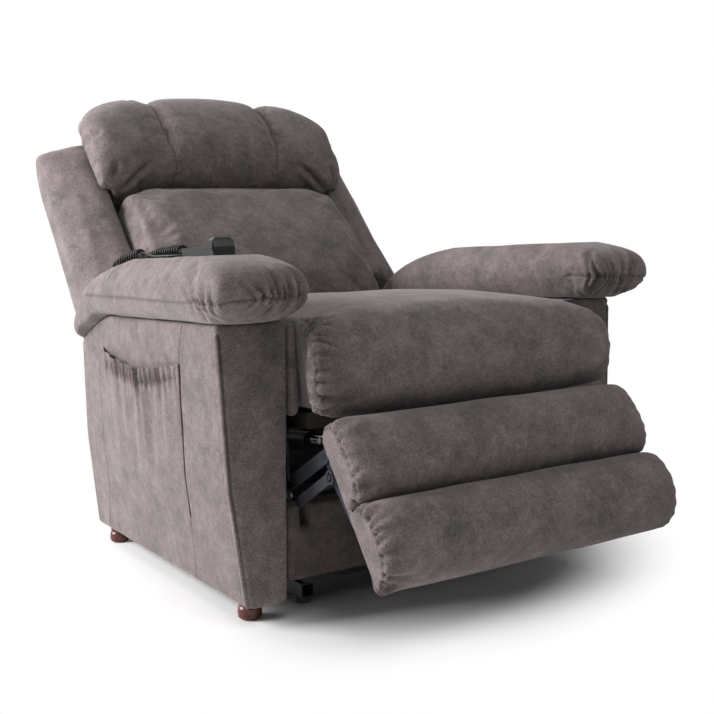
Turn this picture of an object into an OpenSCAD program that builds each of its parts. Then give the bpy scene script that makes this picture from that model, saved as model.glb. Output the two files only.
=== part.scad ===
// Lift recliner chair: padded seat, reclining back, rising leg rest and a steel lift base.
// Millimetres. +Z up, the chair faces -Y, origin on the floor under the middle of its box.

/* [Arms] */
// Plane of the arm fronts, from the origin
arm_front = -417.7; // [-424:0.1:-412]
// Half the width over the arms at seat height
arm_outer = 443; // [438:1:450]
// Half the width over the arms at the bottom edge
arm_foot = 407; // [400:1:420]
// Inner face of each arm, from the middle plane
arm_inner = 311; // [310:0.5:313]
// Bottom edge of the arms above the floor
arm_low = 34; // [30:1:40]
// Top of the arm box, under the pad
arm_high = 518; // [512:1:519]
// Length of the arm box along its bottom edge
arm_len = 782; // [772:1:795]
// Highest point of the arm pads
pad_top = 632; // [626:1:640]
// Width of each arm pad
pad_w = 162; // [158:1:166]

/* [Seat and leg rest] */
// Top of the seat cushion
seat_top = 535; // [530:1:545]
// Underside of the seat cushion
seat_low = 356; // [354:1:358]
// Thickness of the padding on each arm's inner face
inner_t = 22.7; // [21:0.1:25]
// Half the width of the seat front, ahead of the arms
seat_flare = 332; // [325:1:336]
// Half the width of the leg rest board
board_half = 302; // [296:1:306]
// Length of the leg rest board
board_len = 280; // [274:1:286]
// Half the width of the leg rest rolls
roll_half = 318; // [312:1:324]
// How far the rolls stand out from the board
roll_out = 74; // [66:1:80]

/* [Back] */
// Lean of the back from upright as the chair stands
back_lean = 42; // [40:1:44]
// Half the width of the lumbar and head cushions
cushion_half = 283; // [276:1:285]
// Half the width over the wings
wing_outer = 420; // [412:1:428]
// Thickness of the lumbar cushion
lumbar_t = 120; // [112:1:126]

/* [Steel] */
// Thickness of the side plates and link bars
plate_t = 4; // [3.6:0.1:4.2]
// Width of the leg rest link bars
link_w = 24; // [20:1:24]
// Radius of the leg rest pivot pins
pin_r = 5; // [4:0.5:5.5]
// Radius of the back and lift pivot pins
big_pin_r = 8; // [7:0.5:8.5]
// Width of the base tubes
tube = 26; // [24:1:28]
// Wall of the base tubes
tube_wall = 2; // [1.5:0.1:2.5]

/* [Details] */
// Radius of the turned wooden feet
foot_r = 22; // [20:1:24]
// Curls in the handset cord
curls = 36; // [30:1:38]
// Radius of the handset cord's wire
wire_r = 2.2; // [2:0.1:2.4]
// Radius of the curls, to the middle of the wire
curl_r = 9.3; // [8.5:0.1:9.5]

/* [Hidden] */

gap = 0.3; // between soft pieces that lie against each other
run = 0.05; // radial clearance of a pin in its bore
play = 1; // between a link and the plate beside it
through = 2 * arm_outer; // long enough to cut across the chair
seat_play = 3; // between the seat cushion and the padding beside it
seat_half = arm_inner - gap - inner_t - seat_play;

// A place is given as its distance behind the arm fronts and its height.
function at(y, z) = [arm_front + y, z];

// Pivots of the leg rest, the back and the lift
leg_pivot = at(197, 312);
knee = at(157, 173);
board_pivot = at(-74, 293);
guide_pivot = at(194.5, 270.5);
guide_end = at(157, 148);
control_knee = at(128, 137.5);
control_end = at(-96, 262);
back_pivot = at(620, 450);
lift_pivot = at(94, 128);
lift_end = at(442, 132);
second_pivot = at(132, 152);
second_end = at(659, 194);
board_top = at(-113, 345);
board_lean = 35;

// Inner faces of the plates, counted inwards from the side plates
side_x = 297;
guide_x = side_x - play - plate_t;
front_link_x = guide_x - play - plate_t;
rear_link_x = front_link_x - play - plate_t;
control_x = guide_x;
bracket_x = side_x - 3 * play - plate_t;
lift_t = 6;
lift_arm_x = 265;
upright_x = lift_arm_x - play - lift_t;
second_x = upright_x - play - lift_t;

// Where each motor is hinged and each rod pulls
lift_motor_at = at(540, 62);
lift_rod_at = at(90, 208);
leg_motor_at = at(470, 240);
leg_rod_at = at(189, 262);
back_motor_at = at(320, 250);
back_rod_at = at(650, 322);
drive_x = 120;
drive_pin_r = 5;
eye_t = 8;
lug_t = 5;
slot_half = 9; // half the free travel of a drive pin in a rod's slotted end
wing_inner = bracket_x + plate_t + gap;

// Heights of the seat parts
deck_z = 325;
deck_t = 29;
rail_low = 67;
rail_high = 200;
foot_h = arm_low;
tube_z = 12;

// ---- helpers ----
function angle(a, b) = atan2(b[1] - a[1], b[0] - a[0]);
function flat(list) = [for (part = list) each part];
function curve(a, b, c, d, t) = 0.5 * (2 * b + (c - a) * t
  + (2 * a - 5 * b + 4 * c - d) * t * t + (3 * b - a - 3 * c + d) * t * t * t);
function turned(list) = [for (i = [len(list) - 1:-1:0]) list[i]];
// closed smooth line through the points, k steps between each two
function smooth(p, k) = let (n = len(p)) [for (i = [0:n - 1], j = [0:k - 1])
  curve(p[(i + n - 1) % n], p[i], p[(i + 1) % n], p[(i + 2) % n], j / k)];
// open smooth line through the points
function smooth_open(p, k) = let (n = len(p)) concat([for (i = [0:n - 2], j = [0:k - 1])
  curve(p[max(i - 1, 0)], p[i], p[i + 1], p[min(i + 2, n - 1)], j / k)], [p[n - 1]]);
// nearest point to p on the straight line from a to b
function nearest(p, a, b) = let (ab = b - a) a + ab * min(max((p - a) * ab / (ab * ab), 0), 1);
// stations across a cushion from -1 to 1, closer near the ends
function steps(n) = [for (i = [-n:n]) sin(90 * i / n)];
// fullness of the side outline at t: 1 in the middle, edge at the ends
function full(t, edge, crown) = edge + (1 - edge) * pow(max(1 - pow(abs(t), crown), 0), 1 / crown);
// Seat back frame: s runs up the back, t comes forward, from the pivot
function on_back(s, t) = back_pivot
  + [s * sin(back_lean) - t * cos(back_lean), s * cos(back_lean) + t * sin(back_lean)];
// Leg rest frame: s runs down the board, t comes forward, from the seam line
function on_board(s, t) = board_top
  + [-s * sin(board_lean) - t * cos(board_lean), -s * cos(board_lean) + t * sin(board_lean)];
function sum(list, i = 0) = i == len(list) - 1 ? list[i] : list[i] + sum(list, i + 1);

module both() {
  children();
  mirror([1, 0, 0]) children();
}

// A flat (y, z) outline as a plate, its inner face at x
module plate(x, t = plate_t) {
  translate([x, 0, 0]) rotate([90, 0, 90]) linear_extrude(t) children();
}

// Round bar along X at the place p
module pin(p, r, x0, x1) {
  translate([x0, p[0], p[1]]) rotate([0, 90, 0]) cylinder(r = r, h = x1 - x0, $fn = 40);
}

// Flat bar with round ends between two places, its edges a hair inside its ends' tangents
hair = 0.1;
module bar(a, b, w) {
  for (p = [a, b]) translate(p) circle(d = w, $fn = 40);
  translate(a) rotate(angle(a, b)) translate([0, hair - w / 2]) square([norm(b - a), w - 2 * hair]);
}

module holes(places, r) {
  for (p = places) translate(p) circle(r = r, $fn = 40);
}

// Slot with round ends at p, its long way along the direction turn
module slot(p, r, half, turn) {
  translate(p) rotate(turn) {
    for (i = [-1, 1]) translate([i * half, 0]) circle(r = r, $fn = 40);
    square([2 * half, 2 * (r - hair)], center = true);
  }
}

// Square tube along X
module cross_tube(p, half) {
  translate([0, p[0], p[1]]) difference() {
    cube([2 * half, tube, tube], center = true);
    cube([2 * half + 2, tube - 2 * tube_wall, tube - 2 * tube_wall], center = true);
  }
}

// Closed skin over a row of rings, each anticlockwise seen from where the row leads.
// The ends are fans about their middles, or strips where a ring is a thin sheet.
module skin(rings, sheet = false) {
  n = len(rings);
  m = len(rings[0]);
  last = n * m - m;
  ends = sheet ? [] : [sum(rings[0]) / m, sum(rings[n - 1]) / m];
  caps = sheet ? flat([for (j = [0:m / 2 - 2]) let (a = [j, j + 1, m - 2 - j, m - 1 - j])
      [[a[0], a[1], a[2]], [a[0], a[2], a[3]],
       [last + a[2], last + a[1], last + a[0]], [last + a[3], last + a[2], last + a[0]]]])
    : flat([for (j = [0:m - 1]) let (k = (j + 1) % m) [[n * m, j, k], [n * m + 1, last + k, last + j]]]);
  polyhedron(concat(flat(rings), ends), concat(caps,
    flat([for (i = [0:n - 2], j = [0:m - 1]) let (a = i * m + j, b = i * m + (j + 1) % m)
      [[a, a + m, b + m], [a, b + m, b]]])), convexity = 6);
}

// Crowned cushion: a side outline carried across, drawn in towards its spine at the ends
module cushion(side, spine, stations, edge, crown, place, sheet = false) {
  skin([for (t = stations) let (f = full(t, edge, crown)) [for (p = side)
    let (a = nearest(p, spine[0], spine[1])) place(t, a + (p - a) * f)]], sheet);
}

// ---- lift base ----
base_x = 260;
base_rear = 690;
base_front = 60;

module base_frame() color("dimgray") {
  both() {
    translate([base_x - tube / 2, arm_front + base_front, tube_z]) difference() {
      cube([tube, base_rear - base_front, tube]);
      translate([tube_wall, -1, tube_wall])
        cube([tube - 2 * tube_wall, through, tube - 2 * tube_wall]);
    }
    plate(upright_x, lift_t) difference() {
      polygon([at(70, tube_z + tube), at(190, tube_z + tube), at(152, 160), at(140, 172),
        at(124, 172), at(84, 150), at(74, 138)]);
      holes([lift_pivot], big_pin_r + run);
    }
  }
  for (y = [base_front, lift_motor_at[0] - arm_front - tube / 2, base_rear - tube])
    cross_tube([arm_front + y + tube / 2, tube_z + tube / 2], base_x - tube / 2);
  hinge_lugs(lift_motor_at, [lift_motor_at[0], tube_z + tube - 1]);
  both() {
    pin(second_pivot, big_pin_r, second_x - 0.4, upright_x);
    pin(second_pivot, big_pin_r + 4, second_x - 3, second_x - 0.4);
  }
}

module base_glides() color("black") both()
  for (y = [base_front + 20, base_rear - 20]) translate([base_x, arm_front + y, 0])
    cylinder(r1 = 15, r2 = 12, h = tube_z, $fn = 40);

// Pair of main arms on one turning tube, with the crank that the rod pushes
module lift_arms() color("gray") {
  both() plate(lift_arm_x, lift_t) difference() {
    bar(lift_pivot, lift_end, 30);
    holes([lift_end], big_pin_r + run);
  }
  pin(lift_pivot, big_pin_r, -lift_arm_x, lift_arm_x);
  hinge_lugs(lift_rod_at, lift_pivot);
}

module lift_links() color("gray") both() plate(second_x, lift_t) difference() {
  bar(second_pivot, second_end, 26);
  holes([second_pivot], big_pin_r + run);
  holes([second_end], big_pin_r + 2);
}

// A drive: gearbox and motor with an outer tube, hinged at a and aimed at b
drive_r = 15;
rod_r = 8;

module motor(a, b, reach) {
  translate([0, a[0], a[1]]) rotate([angle(a, b), 0, 0]) {
    difference() {
      union() {
        // hinge eye
        translate([-eye_t / 2, 0, 0]) rotate([0, 90, 0]) cylinder(r = 11, h = eye_t, $fn = 40);
        translate([-eye_t / 2, 0, -8]) cube([eye_t, 32, 16]);
        // gearbox
        translate([-19, 30, -19]) cube([38, 62, 38]);
        // motor can beside the tube
        translate([0, 64, 0]) rotate([0, 90, 0]) translate([0, 0, 19]) cylinder(r = 17, h = 56, $fn = 40);
        // outer tube
        translate([0, 92, 0]) rotate([-90, 0, 0]) cylinder(r = drive_r, h = reach - 92, $fn = 40);
      }
      translate([0, 100, 0]) rotate([-90, 0, 0]) cylinder(r = rod_r + 0.3, h = reach, $fn = 40);
      rotate([0, 90, 0]) cylinder(r = drive_pin_r + run, h = 4 * eye_t, center = true, $fn = 40);
    }
  }
}

neck = 56;
module rod(a, b, start, slack = 1.6) {
  reach = norm(b - a);
  translate([0, a[0], a[1]]) rotate([angle(a, b), 0, 0]) {
    translate([0, start, 0]) rotate([-90, 0, 0]) cylinder(r = rod_r, h = reach - start - neck + 10,
      $fn = 40);
    // slotted end, free across the rod
    plate(-eye_t / 2, eye_t) difference() {
      union() {
        bar([reach, -slot_half], [reach, slot_half], 25);
        translate([reach - neck, -rod_r]) square([neck, 2 * rod_r]);
      }
      slot([reach, 0], drive_pin_r + slack, slot_half, 90);
    }
  }
}

module lift_motor() color("#33353a") motor(lift_motor_at, lift_rod_at, 330);
module lift_rod() color("silver") rod(lift_motor_at, lift_rod_at, 150, 3.8);
module leg_motor() color("#33353a") translate([-drive_x, 0, 0]) motor(leg_motor_at, leg_rod_at, 190);
module leg_rod() color("silver") translate([-drive_x, 0, 0]) rod(leg_motor_at, leg_rod_at, 130);
module back_motor() color("#33353a") translate([drive_x, 0, 0]) motor(back_motor_at, back_rod_at, 210);
module back_rod() color("silver") translate([drive_x, 0, 0]) rod(back_motor_at, back_rod_at, 140);

// Pair of lugs with a fixed pin for a drive's hinge eye
module hinge_lugs(p, base) {
  for (x = [-1, 1]) translate([x * (eye_t / 2 + play + lug_t / 2) - lug_t / 2, 0, 0])
    plate(0, lug_t) {
      translate(p) circle(r = 12, $fn = 40);
      polygon([p + [-12, 0], p + [12, 0], base + [12, 0], base + [-12, 0]]);
    }
  pin(p, drive_pin_r, -eye_t / 2 - play - lug_t, eye_t / 2 + play + lug_t);
}

// ---- chair frame ----
// Pressed side plates with the hinge horns and inward flanges
module side_plates() color("dimgray") both() {
  plate(side_x) polygon([at(40, 236), at(70, 226), at(640, 226), at(668, 250), at(668, 300),
    at(645, 440), back_pivot + [22, 8], back_pivot + [8, 21], back_pivot + [-8, 21],
    back_pivot + [-22, 8], at(590, 410), at(560, 332), at(530, deck_z), at(210, deck_z),
    leg_pivot + [14, 10], leg_pivot + [0, 18], leg_pivot + [-14, 10], at(160, deck_z),
    at(60, deck_z), at(40, 300)]);
  for (y = [[50, 150], [250, 525]]) translate([side_x - 36, arm_front + y[0], deck_z - plate_t])
    cube([36.5, y[1] - y[0], plate_t]);
}

tube_a = at(340, deck_z - plate_t - tube / 2 - 0.1);
rail_y = arm_len - 70; // middle of the rear rail, behind the arm fronts
tube_b = at(554, 240);
tube_c = at(470, 213);

module cross_tubes() color("dimgray") {
  for (p = [tube_b, tube_c]) cross_tube(p, side_x);
  cross_tube(tube_a, side_x);
  translate([-drive_x, 0, 0]) hinge_lugs(leg_motor_at, tube_c);
  translate([drive_x, 0, 0]) hinge_lugs(back_motor_at, tube_a);
}

// Plates that hang under the seat and take the lift arms
module lift_brackets() color("gray") both() {
  plate(upright_x, lift_t) polygon([at(424, 120), at(432, 114), at(452, 114), at(rail_y - 62, 176),
    at(rail_y - 36, 186), at(rail_y - 34, 204), at(rail_y - 52, 216), tube_b + [14, -tube / 2],
    tube_b - [14, tube / 2], tube_c + [30, -tube / 2], tube_c - [13, tube / 2], at(424, 160)]);
  pin(lift_end, big_pin_r, upright_x, lift_arm_x + lift_t + 0.1);
  pin(lift_end, big_pin_r + 4, lift_arm_x + lift_t + 0.1, lift_arm_x + lift_t + 3);
  pin(second_end, big_pin_r, second_x - 2, upright_x);
}

// Pins on the side plates for the leg rest links and the back brackets
module frame_pins() color("silver") both() {
  pin(leg_pivot, pin_r, rear_link_x - 1, side_x);
  pin(guide_pivot, pin_r, guide_x - 0.4, side_x);
  pin(back_pivot, big_pin_r, bracket_x - 1, side_x);
}

module arm_bolts() color("silver") both() for (p = [at(120, 262), at(380, 262), at(560, 262)]) {
  pin(p, 9, side_x + plate_t, side_in(p[1] + 9) - gap);
  pin(p, 4, side_in(p[1] + 9) - gap, arm_inner + 40);
}

module seat_deck() color("burlywood") difference() {
  translate([-270, arm_front + 20, deck_z]) cube([540, 505, deck_t]);
  translate([-248, arm_front + 42, deck_z - 1]) cube([496, 461, deck_t + 2]);
}

// Flat serpentine springs across the deck
spring_w = 4;
spring_rows = 9;
spring_pitch = (461 - spring_w) / spring_rows;
module seat_springs() color("silver") for (k = [-2:2]) translate([k * 95, 0, deck_z + deck_t - 6])
  linear_extrude(spring_w) for (i = [0:spring_rows]) translate([0, arm_front + 42 + i * spring_pitch]) {
    translate([-17, 0]) square([34, spring_w]);
    if (i < spring_rows) translate([i % 2 == 0 ? 17 - spring_w : -17, 0])
      square([spring_w, spring_pitch + spring_w]);
  }

// The front rail is notched for the leg rest links
notch_low = rail_high - 43;
module front_rail() color("#5a5351") difference() {
  hull() for (y = [13, 37], x = [-1, 1]) {
    translate([x * (side_in(rail_high) - gap - 11), arm_front + y, rail_high - 11]) sphere(r = 11,
      $fn = 24);
    translate([x * (side_in(rail_low + 12) - gap - 6), arm_front + y, rail_low + 6]) sphere(r = 6,
      $fn = 24);
  }
  both() translate([rear_link_x - 3, arm_front, notch_low])
    cube([control_x + plate_t - rear_link_x + 6, 50, rail_high]);
}

// Small hinge brackets on the rail with a bright bolt each
bracket_place = [side_in(rail_high) - gap - 10, arm_front + 26, rail_high];
module rail_brackets() color("black") both() translate(bracket_place) {
  difference() {
    union() {
      translate([-10, -16, 0]) cube([20, 32, 4]);
      translate([-3, 0, 13]) rotate([0, 90, 0]) cylinder(r = 12.5, h = 6, $fn = 40);
      translate([-3, -13, 0]) cube([6, 26, 12]);
    }
    translate([-through / 2, 0, 13]) rotate([0, 90, 0]) cylinder(r = 4, h = through, $fn = 40);
  }
}

module rail_bolts() color("silver") both() translate(bracket_place) translate([0, 0, 13])
  rotate([0, 90, 0]) {
    translate([0, 0, -10]) cylinder(r = 4, h = 16, $fn = 40);
    for (z = [-10, 3.2]) translate([0, 0, z]) cylinder(r = 7, h = 5, $fn = 6);
  }

module rear_rail() color("#5a5351") hull() for (x = [-1, 1], z = [70, 232])
  translate([x * (side_in(z + 11) - gap - 2), arm_front + rail_y, z]) rotate([0, 90, 0])
    cylinder(r = 11, h = 4, center = true, $fn = 24);

module wooden_feet() color("#4a1c12") both() for (p = [[377, 60], [383, 709]])
  translate([p[0], arm_front + p[1], 0]) rotate_extrude($fn = 48)
    polygon([[0, 0], [foot_r - 5, 0], [foot_r - 1, 4], [foot_r, 12], [foot_r - 1, 20],
      [foot_r - 3, 24], [foot_r - 3, foot_h], [0, foot_h]]);

module control_box() color("#222222") translate([0, tube_b[0], tube_b[1] + tube / 2]) difference() {
  translate([-60, -40, 0]) cube([120, 80, 27]);
  for (x = [-36, 0, 36]) translate([x - 8, -41, 8]) cube([16, 9, 12]);
}

module power_inlet() color("#222222") translate([180, arm_front + rail_y + 11, 150]) difference() {
  translate([-20, 0, -15]) cube([40, 12, 30]);
  translate([-12, 4, -8]) cube([24, 9, 16]);
}

// ---- arms ----
// half-width of an arm's outer face at height z
side_levels = [142, 241, 353];
function side_out(z) = lookup(z, [[arm_low, arm_foot], [side_levels[0], arm_foot
  + 0.36 * (arm_outer - arm_foot)], [side_levels[1], arm_outer - 11], [side_levels[2], arm_outer - 6],
  [arm_high, arm_outer]]);
function side_in(z) = arm_inner + 20 * (1 - min(1, (z - arm_low) / (484 - arm_low)));
arm_round = 10;

// rounded corner of an arm's outline about (x, y), from the direction turn
function corner(x, y, z, turn) = [for (k = [0:3])
  [x + arm_round * cos(turn + 30 * k), arm_front + y + arm_round * sin(turn + 30 * k), z]];
function arm_ring(z, rear) = let (x0 = side_in(z) + arm_round, x1 = side_out(z) - arm_round)
  concat(corner(x1, arm_round, z, -90), corner(x1, rear - arm_round, z, 0),
    corner(x0, rear - arm_round, z, 90), corner(x0, arm_round, z, 180));

// how far the rear edge is cut back at each height, and the top line that this leaves
arm_cut = [[arm_low, 0], [side_levels[0], 17], [side_levels[1], 33], [side_levels[2], 51], [458, 68],
  [476, 102], [500, 182], [arm_high, 247]];
function arm_top(y) = lookup(y, [for (i = [7:-1:4]) [arm_len - arm_cut[i][1], arm_cut[i][0]]]);

module arm() skin([for (c = arm_cut) arm_ring(c[0], arm_len - c[1])]);

module arm_left() color("#8d8382") arm();
module arm_right() color("#8d8382") mirror([1, 0, 0]) arm();

pad_x = arm_inner + 79;
pad_side = turned(smooth([for (p = [[-94, -62], [-72, -28], [-10, -8], [90, -0.7], [250, -0.7], [400,
  -4], [500, -16], [590, -40], [655, -72], [708, -118], [737, -153], [714, -174], [680, -156], [600,
  -132], [535, -114], [400, -114], [200, -114], [20, -114], [-50, -108], [-84, -88]]) at(p[0],
  pad_top + p[1])], 2));
pad_spine = [at(-38, pad_top - 57), at(500, pad_top - 66)];

module arm_pad() cushion(pad_side, pad_spine, steps(4), 0.62, 2.6,
  function(t, p) [pad_x + t * pad_w / 2, p[0], max(p[1], arm_top(p[0] - arm_front - 4) + gap)]);

module arm_pad_left() color("#978d8b") arm_pad();
module arm_pad_right() color("#978d8b") mirror([1, 0, 0]) arm_pad();

inner_side = turned(smooth([at(1, 356), at(0, 430), at(1, 512), at(60, 517), at(300, 517), at(520,
  517), at(527, 430), at(520, 356), at(300, 350), at(60, 350)], 2));
inner_x = arm_inner - gap - inner_t / 2;

module inner_pad() cushion(inner_side, [at(60, 434), at(460, 434)], [-1, -0.8, 0, 0.8, 1], 0.94, 3,
  function(t, p) [inner_x + t * inner_t / 2, p[0], p[1]]);

module inner_pad_left() color("#8d8382") inner_pad();
module inner_pad_right() color("#8d8382") mirror([1, 0, 0]) inner_pad();

// Pocket sewn to the right arm: a sheet that stands off at its gathered mouth
pocket_front = 168;
pocket_rear = 602;
pocket_low = 160;
pocket_t = 3;
function pocket_top(u) = 418 + 26 * pow(abs(2 * u - 1), 2) + 5 * u;
function pocket_out(u, v) = gap + 21 * pow(sin(180 * u), 0.6) * pow(v, 0.8) * (1
  + 0.16 * sin(1800 * u) * v);
pocket_u = 20;
function pocket_rows(u) = [pocket_low, side_levels[1], (side_levels[1] + side_levels[2]) / 2,
  side_levels[2],
  (side_levels[2] + pocket_top(u)) / 2, pocket_top(u)];
function pocket_spot(u, j, out) = let (z = pocket_rows(u)[j],
  v = (z - pocket_low) / (pocket_top(u) - pocket_low))
  [-side_out(z) - out - pocket_out(u, v), arm_front + pocket_front + (pocket_rear - pocket_front) * u, z];

module side_pocket() color("#8d8382") skin([for (i = [0:pocket_u]) concat(
  [for (j = [0:5]) pocket_spot(i / pocket_u, j, pocket_t)],
  [for (j = [5:-1:0]) pocket_spot(i / pocket_u, j, 0)])], sheet = true);

// ---- seat ----
// rows from front to rear: distance behind the arm fronts, then low and high as shares of the height
seat_rows = [[-131, 0.36, 0.5], [-127, 0.17, 0.62], [-115, 0.03, 0.74], [-96, 0, 0.85], [-66, 0, 0.92],
  [-32, 0, 0.965], [-10, 0, 0.98], [-5, 0, 0.983], [50, 0, 0.993], [150, 0, 1], [300, 0, 1], [420, 0,
  0.995], [490, 0, 0.975], [526, 0.02, 0.93], [545, 0.13, 0.82], [553, 0.38, 0.6]];
function seat_z(share) = seat_low + share * (seat_top - seat_low);
seat_side = concat([for (r = turned(seat_rows)) at(r[0], seat_z(r[2]))], [for (r = seat_rows) at(r[0],
  seat_z(r[1]))]);
seat_spine = [at(-40, (seat_low + seat_top) / 2), at(460, (seat_low + seat_top) / 2)];

module seat_cushion() color("#7d7372") cushion(seat_side, seat_spine, steps(5), 0.7, 3,
  function(t, p) [t * (p[0] < arm_front - 7 ? seat_flare : seat_half), p[0], p[1]], sheet = true);

// ---- leg rest ----
module leg_board() color("burlywood") plate(-board_half, 2 * board_half)
  polygon([for (p = [[4, -34], [4, -22], [board_len - 11, -22], [board_len - 11, -34]]) on_board(p[0],
    p[1])]);

module leg_brackets() color("#2b2d3a") both() {
  plate(rear_link_x) polygon([for (p = [[0, -34], [2, -60], [12, -74], [64, -74], [150, -62], [200, -40],
    [200, -34]]) on_board(p[0], p[1])]);
  plate(rear_link_x - 24, 24.5) polygon([for (p = [[4, -34], [4, -38], [200, -38], [200, -34]])
    on_board(p[0], p[1])]);
  pin(board_pivot, pin_r, rear_link_x + plate_t, front_link_x + plate_t + 0.6);
  pin(control_end, pin_r, rear_link_x, control_x + plate_t + 0.6);
}

module leg_roll_upper() color("#85797a") cushion(
  smooth([for (p = [[-1, -0.14], [-3, 0.1], [7, 0.55], [34, 0.9], [70, 1], [106, 0.9], [132, 0.52],
    [138, 0.02], [136, -0.26], [118, -0.28], [24, -0.28]]) on_board(p[0], p[1] * roll_out)], 2),
  [on_board(45, 10), on_board(96, 10)], steps(4), 0.62, 3.2, function(t, p) [t * roll_half, p[0], p[1]]);

module leg_roll_lower() color("#85797a") cushion(
  smooth([for (p = [[143.5, -0.26], [141.5, 0.02], [149, 0.52], [176, 0.9], [212, 1], [250, 0.88],
    [board_len, 0.5], [board_len + 8, 0.02], [board_len + 5, -0.42], [board_len - 1, -0.46],
    [board_len - 4, -0.3], [board_len - 22, -0.28], [162, -0.28]]) on_board(p[0], p[1] * roll_out)], 2),
  [on_board(188, 10), on_board(board_len - 40, 10)], steps(4), 0.62, 3.2,
  function(t, p) [t * roll_half, p[0], p[1]]);

// Rear links are bell cranks on one turning tube, which the leg rod drives
module rear_links() color("gray") {
  both() {
    plate(rear_link_x) difference() {
      union() {
        bar(leg_pivot, knee, link_w);
        bar(knee, control_knee, link_w);
      }
      holes([leg_pivot], pin_r + run);
    }
    pin(knee, pin_r, rear_link_x + plate_t, front_link_x + plate_t + 0.6);
    pin(control_knee, pin_r, rear_link_x + plate_t, control_x + plate_t + 0.6);
  }
  difference() {
    pin(leg_pivot, 11, -rear_link_x, rear_link_x);
    pin(leg_pivot, pin_r + 1, -through, through);
  }
  translate([-drive_x, 0, 0]) hinge_lugs(leg_rod_at, leg_pivot - [0, 8]);
}

module front_links() color("gray") both() {
  plate(front_link_x) difference() {
    union() {
      bar(guide_end, knee, link_w);
      bar(knee, board_pivot, link_w);
    }
    holes([knee, board_pivot], pin_r + run);
  }
  pin(guide_end, pin_r, front_link_x + plate_t, guide_x + plate_t);
}

slim_w = link_w - 6;
module guide_links() color("gray") both() plate(guide_x) difference() {
  bar(guide_pivot, guide_end, slim_w);
  holes([guide_pivot], pin_r + run);
  holes([guide_end], pin_r + 1.5);
}

module control_links() color("gray") both() plate(control_x) difference() {
  union() {
    bar(control_knee, control_end, slim_w);
    translate(control_end) circle(r = pin_r + 7, $fn = 40);
  }
  holes([control_knee], pin_r + run);
  holes([control_end], pin_r + 3.5);
}

// ---- back ----
// rear outline of the back in its own frame, low to high
back_rear = [[-40, -119], [60, -127], [219, -130], [391, -118], [498, -108], [584, -92], [626, -66],
  [641, -42]];
shell_t = 14;
wing_low = 140; // radius of the wings' lower edge about the back pivot

module back_shell() color("#7d7372") plate(2 - bracket_x, 2 * bracket_x - 4) polygon(concat(
  [for (p = back_rear) on_back(p[0], p[1])],
  [for (i = [len(back_rear) - 1:-1:0]) let (p = back_rear[i])
    on_back(p[0] - (i > 4 ? shell_t : 0), p[1] + (i > 6 ? 0 : shell_t))]));

post_w = 22;
module back_frame() color("burlywood") {
  both() plate(bracket_x - post_w - 0.2, post_w)
    polygon([for (p = [[-20, -66], [-20, -40], [606, -40], [588, -66]]) on_back(p[0], p[1])]);
  for (s = [10, 200, 400, 560]) plate(-(bracket_x - post_w - 0.2), 2 * (bracket_x - post_w - 0.2))
    polygon([for (p = [[s, -64], [s, -42], [s + 24, -42], [s + 24, -64]]) on_back(p[0], p[1])]);
  // crank lugs for the back rod
  translate([drive_x, 0, 0]) hinge_lugs(back_rod_at, on_back(20, -56));
}

module back_brackets() color("dimgray") both() plate(bracket_x) difference() {
  union() {
    translate(back_pivot) circle(r = 22, $fn = 40);
    polygon([for (p = [[0, -22], [0, 20], [60, -36], [330, -38], [330, -64], [40, -66]])
      on_back(p[0], p[1])]);
  }
  holes([back_pivot], big_pin_r + run);
}

module back_webbing() color("#3a3634") for (s = [70, 140, 270, 340, 470, 540])
  plate(-(bracket_x - 1), 2 * (bracket_x - 1)) polygon([for (p = [[s, -39.9], [s, -38], [s + 40, -38],
    [s + 40, -39.9]]) on_back(p[0], p[1])]);

// cushion outlines in the back's frame; the second value counts forward from the webbing
cushion_rear = -37;
lumbar_side = turned(smooth([for (p = [[6, 0.1], [6, 0.5], [18, 0.76], [52, 0.98], [110, 1.14], [200,
  1.2], [300, 1.14], [370, 1], [406, 0.8], [410, 0.45], [404, 0.06], [300, 0], [180, 0], [60,
  0]]) on_back(p[0], cushion_rear + p[1] * lumbar_t)], 2));

module lumbar_cushion() color("#857b7a") cushion(lumbar_side, [on_back(64, 12), on_back(350, 12)],
  steps(4), 0.72, 3, function(t, p) [t * cushion_half, p[0], p[1]]);

head_half = 330;
head_seam = 146;
head_side = turned(smooth([for (p = [[416, 6], [419, 70], [442, 108], [500, 130], [580, 138], [650,
  126], [700, 90], [730, 38], [733, -20], [716, -62], [684, -80], [656, -72], [646, -40], [590,
  cushion_rear + 0.5], [500, cushion_rear + 0.5], [425, cushion_rear + 2]]) on_back(p[0], p[1])], 2));
head_step = (wing_inner - 1) / head_half;
head_shares = [0.2, 0.38, head_seam / head_half, 0.5, 0.7, head_step - 0.015, head_step, 0.965, 1];
head_stations = concat([for (t = turned(head_shares)) -t], [0], head_shares);

module head_cushion() color("#857b7a") skin([for (t = head_stations)
  let (f = full(t, 0.7, 3) * (abs(abs(t * head_half) - head_seam) < 5 ? 0.94 : 1),
    out = abs(t) >= head_step)
  [for (p = head_side) let (a = nearest(p, on_back(480, 30), on_back(655, 30)), q = a + (p - a) * f,
    d = (q - back_pivot) * [-cos(back_lean), sin(back_lean)], lift = out ? max(44 - d, 0) : 0)
    [t * head_half, q[0] - lift * cos(back_lean), q[1] + lift * sin(back_lean)]]]);

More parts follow.
